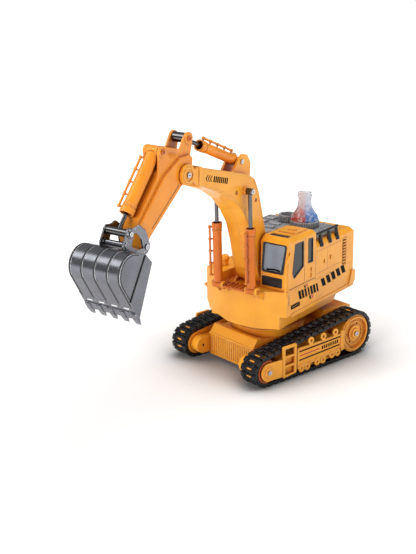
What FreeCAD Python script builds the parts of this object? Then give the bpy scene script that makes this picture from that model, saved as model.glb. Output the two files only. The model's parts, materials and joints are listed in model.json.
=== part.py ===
import FreeCAD, Part
import math
import os

# Toy excavator, in millimetres. Every sub-part is one STEP file in parts/.
# Chassis frame: +X is the machine's cab side, the boom points to -Y, +Z is up, z = 0 is the floor,
# and the slewing axis stands at x = y = 0. The upper machine is drawn square in the same way and is
# then turned about that axis, because it rests slewed by TURN degrees.
# The row's origin is the middle of the standing machine's footprint, on the floor.

V = FreeCAD.Vector

# ---------------------------------------------------------------- driving dimensions
TURN = 13.4
SLEW = V(-9.3, 81.0, 0)        # slewing axis, seen from the row's origin
WALL = 2.0                     # moulded wall thickness
GAP = 0.3                      # air between pieces that turn past each other
RUN = 0.06                     # radial clearance of a running pin
PIN = 1.5                      # common pin radius

# tracks
BELT_IN, BELT_OUT = 42.5, 65.0         # x of the belt's two edges
PANEL_OUT = 67.0                       # x of the side panel's outer face
IDLER = V(0, -61.5, 16.3)
DRIVE = V(0, 65.0, 24.4)
IDLER_R, DRIVE_R = 16.3, 24.4          # to the shoes' soles
BELT_T, BAND_T = 4.0, 1.6              # whole belt, and its smooth inner band
SHOES = 44
SHOE_GAP = 1.5

# chassis
CHASSIS_X = 33.0
CHASSIS_FRONT, CHASSIS_REAR = -51.7, 90.0
CHASSIS_Z, DECK_Z, BOX_Z = 4.0, 33.0, 45.0
RING_R, RING_Z = 38.0, 42.0
COLLAR_R, COLLAR_Z0 = 33.0, RING_Z + GAP
SPIGOT_R = 16.0

# upper house
HOUSE_X = 49.2
HOUSE_FRONT, HOUSE_REAR = -40.0, 90.5
TUB_Z, SKIRT_Z, BELTLINE_Z, SIDE_DECK_Z = 49.5, 62.5, 88.0, 98.5
HOOD_Z, HOOD_SIDE_Z, HOOD_Y = 127.0, 122.5, 12.5
HOOD_EDGE_X = 46.2                     # where the hood's top meets its chamfer
ROOF_Z = 131.0                         # top of the silver roof deck
CAB_X0, CAB_Y1, CAB_Z = 17.2, 12.0, 141.5

# working arm, as (y, z) in the plane of the arm
FOOT = V(0, -28.0, 97.0)
BARREL_FOOT = V(0, -60.5, 90.5)
ROD_HEAD = V(0, -63.6, 191.3)
TIP = V(0, -152.4, 223.1)
STICK_BARREL = V(0, -59.8, 218.1)
STICK_EAR = V(0, -144.0, 254.0)
BUCKET_BARREL = V(0, -181.0, 248.0)
BUCKET_PIN = V(0, -211.4, 171.4)
ROD_PIN = V(0, -232.0, 187.4)
LOW_SHAFT = V(0, -236.0, 178.2)
BOOM_X, STICK_X, HEAD_X, BUCKET_X = 14.0, 11.5, 8.8, 28.4
BOOM_CYLINDER_X = 20.0

parts = {}


# ---------------------------------------------------------------- drawing helpers
def box(x0, x1, y0, y1, z0, z1):
    return Part.makeBox(x1 - x0, y1 - y0, z1 - z0, V(x0, y0, z0))


def cyl(start, end, radius):
    line = end - start
    return Part.makeCylinder(radius, line.Length, start, line)


def cyl_x(at, radius, x0, x1):
    return Part.makeCylinder(radius, x1 - x0, V(x0, at.y, at.z), V(1, 0, 0))


def cyl_z(x, y, radius, z0, z1):
    return Part.makeCylinder(radius, z1 - z0, V(x, y, z0), V(0, 0, 1))


def cone_z(x, y, r0, r1, z0, z1):
    return Part.makeCone(r0, r1, z1 - z0, V(x, y, z0), V(0, 0, 1))


def fuse(*shapes):
    return shapes[0].multiFuse(list(shapes[1:])).removeSplitter()


def cut(shape, *tools):
    return shape.cut(Part.makeCompound(list(tools)))


def mirror(shape):
    return shape.mirror(V(0, 0, 0), V(1, 0, 0))


def both_sides(shape):
    return [shape, mirror(shape)]


def outline(points, radius=0):
    """Closed wire through points; each corner is rounded by its radius."""
    count = len(points)
    radii = radius if isinstance(radius, (list, tuple)) else [radius] * count
    corners = []
    for i, corner in enumerate(points):
        back = (points[i - 1] - corner).normalize()
        ahead = (points[(i + 1) % count] - corner).normalize()
        if radii[i] <= 0:
            corners.append((corner, corner, corner))
            continue
        half = back.getAngle(ahead) / 2
        middle = (back + ahead).normalize()
        reach = radii[i] / math.tan(half)
        crown = corner + middle * (radii[i] / math.sin(half) - radii[i])
        corners.append((corner + back * reach, crown, corner + ahead * reach))
    edges = []
    for i, (start, crown, end) in enumerate(corners):
        if (end - start).Length > 1e-6:
            edges.append(Part.Arc(start, crown, end).toShape())
        after = corners[(i + 1) % count][0]
        if (after - end).Length > 1e-6:
            edges.append(Part.LineSegment(end, after).toShape())
    return Part.Wire(edges)


def slab_x(points, x0, x1, radius=0):
    """Outline in (y, z), thickened from x0 to x1."""
    wire = outline([V(x0, y, z) for y, z in points], radius)
    return Part.Face(wire).extrude(V(x1 - x0, 0, 0))


def slab_y(points, y0, y1, radius=0):
    """Outline in (x, z), thickened from y0 to y1."""
    wire = outline([V(x, y0, z) for x, z in points], radius)
    return Part.Face(wire).extrude(V(0, y1 - y0, 0))


def slab_z(points, z0, z1, radius=0):
    """Outline in (x, y), thickened from z0 to z1."""
    wire = outline([V(x, y, z0) for x, y in points], radius)
    return Part.Face(wire).extrude(V(0, 0, z1 - z0))


def lug(at, radius, base, x0, x1):
    """Round-headed plate: a disc at a pivot, joined to its two base points, in (y, z)."""
    foot = Part.makePolygon([V(x0, at.y, at.z)] + [V(x0, y, z) for y, z in base] + [V(x0, at.y, at.z)])
    plate = Part.Face(foot).extrude(V(x1 - x0, 0, 0))
    return fuse(cyl_x(at, radius, x0, x1), plate)


def link(a, b, radius, x0, x1):
    """Flat bar with round ends about two pivots."""
    along = V(0, b.y - a.y, b.z - a.z).normalize()
    side = V(0, -along.z, along.y) * radius
    corners = [a + side, b + side, b - side, a - side]
    bar = slab_x([(p.y, p.z) for p in corners], x0, x1)
    return fuse(cyl_x(a, radius, x0, x1), cyl_x(b, radius, x0, x1), bar)


def add_chassis(name, shape):
    parts[name] = shape.translated(SLEW)


def add_house(name, shape):
    turned = shape.copy()
    turned.rotate(V(0, 0, 0), V(0, 0, 1), TURN)
    parts[name] = turned.translated(SLEW)


def screw(at, outward, radius, length):
    """Pan-head screw seen from outside: head with a cross recess, and a plain shank behind it."""
    outward = outward.normalize() * 1.0
    head = Part.makeCylinder(radius, 1.0, at, outward)
    shank = Part.makeCylinder(radius * 0.5, length, at - outward * length, outward)
    across = outward.cross(V(0, 0, 1)) if abs(outward.z) < 0.9 else V(1, 0, 0)
    up = outward.cross(across)
    slots = []
    for direction in (across, up):
        start = at + outward * 0.6 - direction * radius * 0.6
        slots.append(Part.makeCylinder(radius * 0.17, radius * 1.2, start, direction))
    return fuse(head, shank).cut(Part.makeCompound(slots))


# ---------------------------------------------------------------- tracks
def belt_path():
    """The closed line of the soles: one straight along the floor, one over the top, and two arcs."""
    run = V(0, DRIVE.y - IDLER.y, DRIVE.z - IDLER.z)
    slope = math.atan2(run.z, run.y)
    lift = math.asin((DRIVE_R - IDLER_R) / run.Length)
    return slope + lift, run.Length * math.cos(lift), DRIVE.y - IDLER.y


def belt_point(distance, depth):
    """Point and outward direction at a distance along the path, at a depth below the soles."""
    tilt, top_run, floor_run = belt_path()
    front_arc = IDLER_R * (math.pi - tilt)
    rear_arc = DRIVE_R * (math.pi + tilt)
    total = floor_run + rear_arc + top_run + front_arc
    distance %= total
    if distance < floor_run:
        out = V(0, 0, -1)
        return V(0, IDLER.y + distance, depth), out
    distance -= floor_run
    if distance < rear_arc:
        angle = -math.pi / 2 + distance / DRIVE_R
        out = V(0, math.cos(angle), math.sin(angle))
        return DRIVE + out * (DRIVE_R - depth), out
    distance -= rear_arc
    out = V(0, -math.sin(tilt), math.cos(tilt))
    if distance < top_run:
        start = DRIVE + out * (DRIVE_R - depth)
        return start - V(0, math.cos(tilt), math.sin(tilt)) * distance, out
    angle = math.pi / 2 + tilt + (distance - top_run) / IDLER_R
    out = V(0, math.cos(angle), math.sin(angle))
    return IDLER + out * (IDLER_R - depth), out


def belt_length():
    tilt, top_run, floor_run = belt_path()
    return floor_run + top_run + IDLER_R * (math.pi - tilt) + DRIVE_R * (math.pi + tilt)


def loop(depth, x0, x1):
    """Solid inside the belt path, shrunk by depth."""
    tilt, top_run, floor_run = belt_path()
    up = V(0, -math.sin(tilt), math.cos(tilt))
    low_front = V(x0, IDLER.y, depth)
    low_rear = V(x0, DRIVE.y, depth)
    rear = DRIVE + V(x0, DRIVE_R - depth, 0)
    top_rear = DRIVE + V(x0, 0, 0) + up * (DRIVE_R - depth)
    top_front = IDLER + V(x0, 0, 0) + up * (IDLER_R - depth)
    front = IDLER + V(x0, -(IDLER_R - depth), 0)
    wire = Part.Wire([
        Part.LineSegment(low_front, low_rear).toShape(),
        Part.Arc(low_rear, rear, top_rear).toShape(),
        Part.LineSegment(top_rear, top_front).toShape(),
        Part.Arc(top_front, front, low_front).toShape()])
    return Part.Face(wire).extrude(V(x1 - x0, 0, 0))


def track_belt():
    """Rubber belt: a smooth band with a row of flat shoes, each with a slot through its middle."""
    pitch = belt_length() / SHOES
    points = []
    slots = []
    for i in range(SHOES):
        begin, end = i * pitch + SHOE_GAP / 2, (i + 1) * pitch - SHOE_GAP / 2
        lug_depth = BELT_T - BAND_T - 0.6
        for distance, depth in ((begin, lug_depth), (begin, 0), (end, 0), (end, lug_depth)):
            points.append(belt_point(distance, depth)[0])
        middle, out = belt_point((i + 0.5) * pitch, 0)
        slot = box(-3.5, 3.5, -1.1, 1.1, -6, 2)
        slot.Placement = FreeCAD.Placement(
            V((BELT_IN + BELT_OUT) / 2, middle.y, middle.z), FreeCAD.Rotation(V(0, 0, 1), out))
        slots.append(slot)
    outer = slab_x([(p.y, p.z) for p in points], BELT_IN, BELT_OUT)
    inner = loop(BELT_T, BELT_IN - 1, BELT_OUT + 1)
    return outer.cut(Part.makeCompound([inner] + slots))


def wheel(at, radius, disc_radius, hub_radius, holes):
    """Track wheel: a drum under the belt, and a dished disc with rings, holes and a hub outside."""
    drum_in, drum_out = BELT_IN + 1.5, BELT_OUT - 1.5
    body = cyl_x(at, radius, drum_in, drum_out)
    dish = cut(cyl_x(at, disc_radius - 1.6, drum_out - 2.2, drum_out + 1),
               cyl_x(at, hub_radius + 3.2, drum_out - 2.2, drum_out + 1))
    hub = cyl_x(at, hub_radius, drum_out, drum_out + 1.6)
    ring = cut(cyl_x(at, disc_radius, drum_out, drum_out + 1.2),
               cyl_x(at, disc_radius - 1.6, drum_out, drum_out + 1.2))
    mid = disc_radius * 0.68
    bead = cut(cyl_x(at, mid + 0.7, drum_out - 2.2, drum_out - 1.2),
               cyl_x(at, mid - 0.7, drum_out - 2.2, drum_out - 1.2))
    windows = []
    for i in range(holes):
        angle = 2 * math.pi * i / holes
        centre = at + V(0, math.cos(angle), math.sin(angle)) * (mid + hub_radius + 3) * 0.5
        windows.append(cyl_x(centre, 1.1, drum_out - 6, drum_out + 3))
    shaft = cyl_x(at, PIN + RUN if holes == 0 else PIN, drum_in - 1, drum_out + 3)
    hollow = cyl_x(at, radius - WALL, drum_in - 1, drum_out - 5)
    boss = cyl_x(at, hub_radius, drum_in, drum_out)
    shell = cut(body, hollow, dish)
    return cut(fuse(shell, hub, ring, bead, boss), shaft, *windows)


def axle(at, x0, x1):
    """Axle with a cross-head screw in its outer end."""
    return fuse(cyl_x(at, PIN, x0, x1), screw(V(x1, at.y, at.z), V(1, 0, 0), 2.4, 2))


def track_frame():
    """Inner cheek, the beam inside the belt, and the forked arm that carries the idler."""
    cheek = loop(BELT_T + 0.6, BELT_IN + 0.2, BELT_IN + 1.2)
    beam = slab_x([(-42, 7), (38, 7), (38, 29), (-42, 24)], BELT_IN + 0.8, BELT_OUT - 1.0, 2)
    core = slab_x([(-40, 9), (36, 9), (36, 27), (-40, 22)], BELT_IN + 3, BELT_OUT - 3, 1)
    arm = link(IDLER, V(0, -30, 15), 9.2, BELT_OUT + 0.4, PANEL_OUT - 0.1)
    arm = arm.cut(box(BELT_OUT, PANEL_OUT + 1, -42.8, 0, 0, 40))
    arm_web = box(BELT_OUT - 3, BELT_OUT + 1.0, -47.5, -42.8, 8, 22)
    arm_root = box(BELT_OUT - 3, BELT_OUT, -43, -40, 8, 22)
    hub = cyl_x(IDLER, 5.0, BELT_OUT + 0.4, PANEL_OUT + 1.0)
    body = fuse(cheek, beam, arm, arm_web, arm_root, hub)
    return cut(body, core, cyl_x(IDLER, PIN, BELT_IN - 1, PANEL_OUT + 2),
               cyl_x(DRIVE, PIN + 1.5, BELT_IN - 1, BELT_IN + 3))


def track_panel():
    """Outer panel: a ribbed bar with three carrier lugs above and three roller covers below."""
    x0, x1 = BELT_OUT + 0.35, PANEL_OUT
    lugs = [V(0, y, 34.6) for y in (-3.0, 14.8, 32.4)]
    rollers = [V(0, y + step, z) for y, z in ((-12.5, 8.6), (10.0, 9.6), (31.5, 11.6))
               for step in (-4.2, 4.2)]
    pieces = [slab_x([(-22, 9), (38, 14), (41, 16), (41, 31), (-22, 30.5)], x0, x1 - 0.5, 1),
              slab_x([(-21.6, 29.2), (40.6, 29.2), (40.6, 30.8), (-21.6, 30.8)], x0 + 0.1, x1),
              slab_x([(-21.6, 9.6), (38.0, 13.4), (38.0, 14.8), (-21.6, 11.0)], x0 + 0.1, x1),
              slab_x([(40.2, 12), (45.2, 13), (45.2, 34), (40.2, 34)], x0 + 0.2, x1 + 0.4, 0.8)]
    for at in lugs:
        pieces.append(lug(at, 3.7, [(at.y - 3.7, 29), (at.y + 3.7, 29)], x0 + 0.15, x1 - 0.1))
    for at in rollers:
        pieces.append(cyl_x(at, 3.9, x0 + 0.25, x1 + 0.4))
    for back, ahead in zip(rollers[::2], rollers[1::2]):
        pieces.append(box(x0 + 0.3, x1 - 0.2, back.y, ahead.y, back.z - 3, back.z + 4))
    stud = cyl_x(V(0, 8, 20), 3.0, BELT_OUT - 1.0, x0 + 0.5)
    bores = [cyl_x(at, 1.5, x0 - 1, x1 + 1) for at in lugs]
    bores += [cyl_x(at, 1.3, x1 - 0.6, x1 + 1) for at in rollers]
    return cut(fuse(*pieces, stud), *bores)


def step_ladder():
    """Boarding step: an upright frame with three open windows and two posts."""
    x0, x1 = BELT_OUT + 0.4, PANEL_OUT + 0.4
    body = slab_x([(-42.5, 4.6), (-24, 6.5), (-24, 37.5), (-42.5, 37.5)], x0, x1, 1.4)
    windows = [slab_x([(-39.6, z), (-26.8, z), (-26.8, z + 7.6), (-39.6, z + 7.6)], x0 - 1, x1 + 1, 0.8)
               for z in (7.6, 17.4, 27.2)]
    return cut(body, *windows)


def build_tracks():
    pieces = {
        "track_belt": track_belt(),
        "drive_wheel": wheel(DRIVE, DRIVE_R - BELT_T - 0.4, 18.2, 5.2, 6),
        "idler_wheel": wheel(IDLER, IDLER_R - BELT_T - 0.35, 11.6, 4.2, 0),
        "track_frame": track_frame(),
        "track_panel": track_panel(),
        "drive_axle": axle(DRIVE, 20, BELT_OUT + 0.5),
    }
    for name, shape in pieces.items():
        add_chassis(name + "_left", shape)
        add_chassis(name + "_right", mirror(shape))
    add_chassis("step_ladders", Part.makeCompound(both_sides(step_ladder())))
    add_chassis("idler_axles", Part.makeCompound(both_sides(axle(IDLER, 34.5, PANEL_OUT + 1.0))))


# ---------------------------------------------------------------- chassis
def chassis_shell():
    """Hollow lower body: slatted front, sloping nose, flat deck, raised rear box and idler arms."""
    side = [(CHASSIS_FRONT, CHASSIS_Z), (CHASSIS_FRONT, 28), (-45.5, 36.5), (-41, 36.5), (-39, DECK_Z),
            (49, DECK_Z), (49, BOX_Z), (CHASSIS_REAR, BOX_Z - 2), (CHASSIS_REAR, 24), (72, CHASSIS_Z + 6),
            (60, CHASSIS_Z)]
    body = slab_x(side, -CHASSIS_X, CHASSIS_X, [1, 1.5, 1.5, 0.5, 0.5, 0.5, 2, 2, 2, 2, 2])
    inside = slab_x([(CHASSIS_FRONT + WALL, CHASSIS_Z - 1), (CHASSIS_FRONT + WALL, 27),
                     (-44.5, DECK_Z - WALL),
                     (50, DECK_Z - WALL), (51, BOX_Z - WALL), (CHASSIS_REAR - WALL, BOX_Z - WALL - 2),
                     (CHASSIS_REAR - WALL, 25), (71, CHASSIS_Z + 8), (60, CHASSIS_Z - 1)],
                    -CHASSIS_X + WALL, CHASSIS_X - WALL)
    ledge = box(-CHASSIS_X - 0.6, CHASSIS_X + 0.6, CHASSIS_FRONT - 0.8, -46, 27.2, 28.6)
    slats = [box(x, x + 1.1, CHASSIS_FRONT - 0.7, CHASSIS_FRONT + 1, 7, 25.5)
             for x in [-30 + 3.3 * i for i in range(19)]]
    arms = []
    for arm in both_sides(link(IDLER, V(0, -42, 15), 8.6, CHASSIS_X - 1, BELT_IN - 0.4)):
        arms.append(arm)
    hollow = cut(body, inside)
    whole = fuse(hollow, ledge, *slats, *arms)
    bores = both_sides(cyl_x(IDLER, PIN, CHASSIS_X - 3, BELT_IN + 3)) + both_sides(
        cyl_x(DRIVE, PIN + RUN, CHASSIS_X - 3, BELT_IN + 3))
    spigot = cyl_z(0, 0, SPIGOT_R + 3, 20, 60)
    return cut(whole, spigot, *bores)


def build_chassis():
    add_chassis("chassis_shell", chassis_shell())
    floor = box(-CHASSIS_X + WALL + GAP, CHASSIS_X - WALL - GAP, CHASSIS_FRONT + WALL + GAP, 59.6,
                CHASSIS_Z, CHASSIS_Z + 1.8)
    door_hole = box(-24, 24, -30, 22, 0, 12)
    switch_hole = box(-6.2, 6.2, 30, 36.4, 0, 12)
    holes = [cyl_z(x, y, 1.1, 0, 12) for x in (-27, 27) for y in (-44, 50)]
    add_chassis("chassis_bottom_cover", cut(floor, door_hole, switch_hole, *holes))
    door = box(-23.7, 23.7, -29.7, 21.7, CHASSIS_Z, CHASSIS_Z + 1.8)
    grip = [box(-8, 8, y, y + 0.9, CHASSIS_Z - 0.5, CHASSIS_Z + 0.5) for y in (14, 16, 18)]
    add_chassis("battery_door", fuse(door, *grip))
    cells = []
    for i in range(3):
        x = -14.6 + 14.6 * i
        cells.append(cyl(V(x, -28, 13.6), V(x, 20, 13.6), 7.0))
        cells.append(cyl(V(x, 20, 13.6), V(x, 21.2, 13.6), 2.4))
    wrap = box(-21.4, 21.4, -27, 19, 8.2, 19.0)
    add_chassis("battery_pack", fuse(wrap, *cells))
    knob = fuse(box(-3.6, 1.6, 30.9, 35.5, CHASSIS_Z + 2.2, CHASSIS_Z + 4.6),
                box(-2.2, 0.2, 31.7, 34.7, CHASSIS_Z - 0.6, CHASSIS_Z + 3))
    add_chassis("power_switch", knob)
    screws = [screw(V(x, y, CHASSIS_Z), V(0, 0, -1), 2.0, 6) for x in (-27, 27) for y in (-44, 50)]
    add_chassis("bottom_screws", Part.makeCompound(screws))
    gears = box(3.0, 30.4, 54.5, 73, 14, 33)
    motor = cyl(V(16.7, 38, 23.4), V(16.7, 54.5, 23.4), 6.8)
    lead = cyl(V(16.7, 36.5, 23.4), V(16.7, 38, 23.4), 1.0)
    block = cut(fuse(gears, motor, lead), cyl_x(DRIVE, PIN + RUN, 2, 32))
    add_chassis("drive_motors", Part.makeCompound(both_sides(block)))


def build_turntable():
    ring = cut(cyl_z(0, 0, RING_R, DECK_Z, RING_Z), cyl_z(0, 0, SPIGOT_R + RUN, DECK_Z - 1, RING_Z + 1))
    neck = cut(cyl_z(0, 0, SPIGOT_R + 2.7, DECK_Z - 7, DECK_Z),
               cyl_z(0, 0, SPIGOT_R + RUN, DECK_Z - 8, DECK_Z + 1))
    bevel = cone_z(0, 0, RING_R - 1.2, RING_R - 3.4, RING_Z - 1.2, RING_Z)
    rim = cut(cyl_z(0, 0, RING_R + 1, RING_Z - 1.2, RING_Z + 0.1),
              cyl_z(0, 0, RING_R - 1.6, RING_Z - 1.2, RING_Z + 0.1))
    relief = cut(cyl_z(0, 0, RING_R - 8, DECK_Z, RING_Z - 2), cyl_z(0, 0, SPIGOT_R + 5, DECK_Z - 1, RING_Z))
    add_chassis("turntable_ring", cut(fuse(ring, neck), rim, relief))
    collar = cyl_z(0, 0, COLLAR_R, COLLAR_Z0, TUB_Z)
    spigot = cut(cyl_z(0, 0, SPIGOT_R, DECK_Z - 6.5, TUB_Z), cyl_z(0, 0, SPIGOT_R - 3, 0, 100))
    hollow = cut(cyl_z(0, 0, COLLAR_R - 2.5, COLLAR_Z0 + 2, TUB_Z + 1), cyl_z(0, 0, SPIGOT_R, 0, 100))
    body = cut(fuse(collar, spigot), hollow, cyl_z(0, 0, SPIGOT_R - 3, 0, 100))
    add_house("turntable_collar", body)


# ---------------------------------------------------------------- upper house
HOUSE_SCREWS = ((-36, -34), (-36, 50), (36, -34), (36, 50))


def tub_plan(inset, z0, z1, rear):
    """Plan of the house: straight sides, a front bowed forward, and a crease right of its middle."""
    left, right = -HOUSE_X + inset, HOUSE_X - inset
    a = V(left, HOUSE_FRONT + inset, z0)
    b = V(19, -54.5 + inset, z0)
    c = V(right, HOUSE_FRONT - 1.5 + inset, z0)
    d, e = V(right, rear - inset, z0), V(left, rear - inset, z0)
    wire = Part.Wire([
        Part.Arc(a, V(-16, -52.3 + inset, z0), b).toShape(),
        Part.LineSegment(b, c).toShape(),
        Part.LineSegment(c, d).toShape(),
        Part.LineSegment(d, e).toShape(),
        Part.LineSegment(e, a).toShape()])
    return Part.Face(wire).extrude(V(0, 0, z1 - z0))


def house_tub():
    """Open moulded tray: bowed front, stepped skirt, sloped underside and rear bumper."""
    upper = tub_plan(0, SKIRT_Z, BELTLINE_Z, HOUSE_REAR)
    join = SKIRT_Z + 0.5
    keel = slab_x([(-42, join), (-42, TUB_Z), (62, TUB_Z), (76, join)], -42, 42)
    nose = slab_y([(-48.6, join), (-43.7, 54.7), (-27.5, 52.6), (-14, TUB_Z), (42.5, TUB_Z), (42.5, join)],
                  -60, -36).common(tub_plan(0, TUB_Z - 1, join, HOUSE_REAR))
    skirt = tub_plan(-0.8, SKIRT_Z - 1.5, SKIRT_Z + 2.0, HOUSE_REAR).cut(box(-60, 60, -60, -33, 0, 80))
    bumper = slab_x([(80, 62.6), (90, 63.5), (93.2, 67), (93.2, 78.4), (87, 80)], -HOUSE_X - 1.6,
                    HOUSE_X + 1.6, 1)
    side_deck = box(-HOUSE_X, -24, -60, HOOD_Y - 0.3, BELTLINE_Z - 1, SIDE_DECK_Z).common(
        tub_plan(0, BELTLINE_Z - 1, SIDE_DECK_Z, HOUSE_REAR))
    cab_sill = box(CAB_X0 - 1, HOUSE_X, -60, HOOD_Y - 0.3, BELTLINE_Z - 1, BELTLINE_Z + 0.4).common(
        tub_plan(0, BELTLINE_Z - 1, BELTLINE_Z + 2, HOUSE_REAR))
    solid = fuse(upper, keel, nose, skirt, bumper, side_deck, cab_sill)
    nose_inside = slab_y([(-40, join + 2), (-40, 57.5), (-26, 55.0), (-13, TUB_Z + WALL), (40, TUB_Z + WALL),
                          (40, join + 2)], -60, -35).common(tub_plan(WALL, TUB_Z, join + 2, HOUSE_REAR))
    inside = [tub_plan(WALL, SKIRT_Z + WALL, BELTLINE_Z - WALL, HOUSE_REAR), nose_inside,
              box(-40, 40, -36, 58, TUB_Z + WALL, SKIRT_Z + WALL + 1),
              box(-HOUSE_X + WALL, HOUSE_X - WALL, HOOD_Y + 1, HOUSE_REAR - WALL, 70, BELTLINE_Z + 1),
              box(-HOUSE_X + WALL, -26, -36, HOOD_Y - WALL, 80, SIDE_DECK_Z - WALL),
              cyl_z(0, 0, SPIGOT_R - 3, 40, 60)]
    hollow = cut(solid, *inside)
    lugs = []
    for x0 in (-17.0, 14.9):
        lugs.append(lug(FOOT, 6.0, [(-40, BELTLINE_Z - 1), (-16, BELTLINE_Z - 1)], x0, x0 + 2.1))
    for sign in (-1, 1):
        inner, outer = sign * BOOM_CYLINDER_X - 5.2, sign * BOOM_CYLINDER_X + 5.2
        for x0, x1, size in ((inner - 1.4, inner, 3.4), (outer, outer + 2.6, 4.0)):
            lugs.append(lug(BARREL_FOOT, size, [(-50, BELTLINE_Z - 0.6), (-50, BELTLINE_Z - 9)], x0, x1))
    crease = front_crease()
    step = slab_z([(-HOUSE_X - 9, -33), (-HOUSE_X + 0.5, -39), (-HOUSE_X + 0.5, -26), (-HOUSE_X - 9, -28)],
                  74.4, 76.2, [1, 0, 0, 1])
    whole = fuse(hollow.cut(crease), step, *lugs)
    pins = [cyl_x(FOOT, PIN + RUN, -20, 20)]
    pins += [cyl_x(BARREL_FOOT, PIN, sign * BOOM_CYLINDER_X - 9, sign * BOOM_CYLINDER_X + 9)
             for sign in (-1, 1)]
    screws = [cyl_z(x, y, 1.0, TUB_Z - 1, TUB_Z + 8) for x, y in HOUSE_SCREWS]
    return cut(whole, *pins, *screws)


def front_crease():
    """Wedge that lays the upper part of the front face, right of its middle, slightly back."""
    start, end = V(19, -54.5, 0), V(HOUSE_X, HOUSE_FRONT - 1.5, 0)
    along = (end - start).normalize()
    out = V(along.y, -along.x, 0)
    profile = [out * 0.2 + V(0, 0, 75.0), out * -0.9 + V(0, 0, 89.5), out * 4 + V(0, 0, 89.5),
               out * 4 + V(0, 0, 75.0)]
    wire = Part.makePolygon([start + p for p in profile] + [start + profile[0]])
    return Part.Face(wire).extrude(along * 36)


def hood_louvres(x0, x1):
    """Ladder-like row of air slots near the rear of the side wall."""
    return [box(x0, x1, 67.2, 72.4, z, z + 1.9) for z in [90.0 + 3.2 * i for i in range(9)]]


def engine_hood():
    """Engine cover: hollow, chamfered along the top edges, with side louvres and round vents."""
    section = [(-HOUSE_X, BELTLINE_Z + 0.2), (HOUSE_X, BELTLINE_Z + 0.2), (HOUSE_X, HOOD_SIDE_Z),
               (HOOD_EDGE_X, HOOD_Z), (-HOOD_EDGE_X, HOOD_Z), (-HOUSE_X, HOOD_SIDE_Z)]
    body = slab_y(section, HOOD_Y, HOUSE_REAR, [0, 0, 1.5, 1.5, 1.5, 1.5])
    slope = slab_x([(HOUSE_REAR + 1, 120), (HOUSE_REAR + 1, 130), (82, 130), (86, HOOD_Z)], -60, 60)
    body = body.cut(slope)
    inner = [(-HOUSE_X + WALL, BELTLINE_Z - 1), (HOUSE_X - WALL, BELTLINE_Z - 1),
             (HOUSE_X - WALL, HOOD_SIDE_Z - 1), (HOOD_EDGE_X - 1, HOOD_Z - WALL),
             (1 - HOOD_EDGE_X, HOOD_Z - WALL), (-HOUSE_X + WALL, HOOD_SIDE_Z - 1)]
    inside = slab_y(inner, HOOD_Y + WALL, HOUSE_REAR - WALL)
    keep = slab_x([(HOUSE_REAR, 117), (HOUSE_REAR, 130), (80, 130), (84, HOOD_Z - WALL)], -60, 60)
    hollow = body.cut(inside.cut(keep))
    ridge = both_sides(box(HOUSE_X - 0.2, HOUSE_X + 0.8, 73.6, 75.4, BELTLINE_Z + 0.2, 119))
    vents = [cyl_z(x, y, radius - 1.6, 110, 140) for x, y, radius in (REAR_VENT, MIST_VENT)]
    return cut(fuse(hollow, *ridge), *hood_louvres(40, 60), *hood_louvres(-60, -40), *vents)


REAR_VENT = (-11.6, 56.2, 10.8)     # x, y and outer radius of the rear intake
MIST_VENT = (13.5, 47.7, 15.4)      # and of the mist outlet
VENT_TOP = 138.0
DECK_PLAN = [(-41, 14.5), (43, 14.5), (43, 68.0), (-41, 68.0)]
LED_X = 4.4                         # each LED stands this far from the outlet's middle


def vent_ring(x, y, radius, top):
    """Ribbed ring around a round opening in the roof deck."""
    z0 = ROOF_Z + 0.1
    count = 2 * int(radius * 1.35)
    ribs = []
    for i in range(count):
        rib = box(radius - 1.2, radius + 0.1, -0.5, 0.5, z0, top - 0.8)
        rib.rotate(V(0, 0, 0), V(0, 0, 1), 360 * i / count)
        ribs.append(rib.translated(V(x, y, 0)))
    wall = cyl_z(x, y, radius - 0.8, z0, top)
    lip = cyl_z(x, y, radius - 0.3, top - 1.4, top)
    return cut(fuse(wall, lip, *ribs), cyl_z(x, y, radius - 2.4, z0 - 1, top + 1))


def mist_cap():
    """The mist outlet's ring, closed by a plate with two LED holes and the outlet between them."""
    x, y, radius = MIST_VENT
    plate = cyl_z(x, y, radius - 2.2, VENT_TOP - 1.6, VENT_TOP)
    bores = [cyl_z(x + step, y, 1.0, VENT_TOP - 3, VENT_TOP + 1) for step in (-LED_X, LED_X)]
    outlet = cyl_z(x, y, 1.8, VENT_TOP - 3, VENT_TOP + 1)
    return cut(fuse(vent_ring(x, y, radius, VENT_TOP), plate), outlet, *bores)


def led(side):
    """Domed LED on its lead, standing in the outlet's plate."""
    x, y = MIST_VENT[0] + side * LED_X, MIST_VENT[1]
    base = VENT_TOP + 0.1
    dome = Part.makeSphere(2.1, V(x, y, base + 3.0))
    return fuse(cyl_z(x, y, 2.1, base, base + 3.0), dome, cyl_z(x, y, 0.9, base - 3, base + 1))


def mist_chimney():
    """Clear bottle-shaped chimney: a bell over the LEDs that narrows into an upright neck with a collar."""
    x, y = MIST_VENT[0], MIST_VENT[1]
    skin = 1.0
    outside = [(14.8, 0.1), (14.7, 1.6), (13.8, 4.6), (11.4, 7.9), (9.1, 11.2), (7.8, 14.5), (7.2, 18.0),
               (7.2, 24.4), (7.9, 25.0), (7.9, 26.4), (7.2, 27.0), (7.2, 29.5)]
    inside = [(6.2, 29.5), (6.2, 18.0), (7.8 - skin, 14.0), (9.1 - skin, 10.6), (11.4 - skin, 7.2),
              (13.8 - skin, 4.0), (13.4, 0.1)]
    points = [V(x + r, y, VENT_TOP + h) for r, h in outside + inside]
    profile = Part.Face(Part.makePolygon(points + [points[0]]))
    return profile.revolve(V(x, y, 0), V(0, 0, 1), 360)


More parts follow.
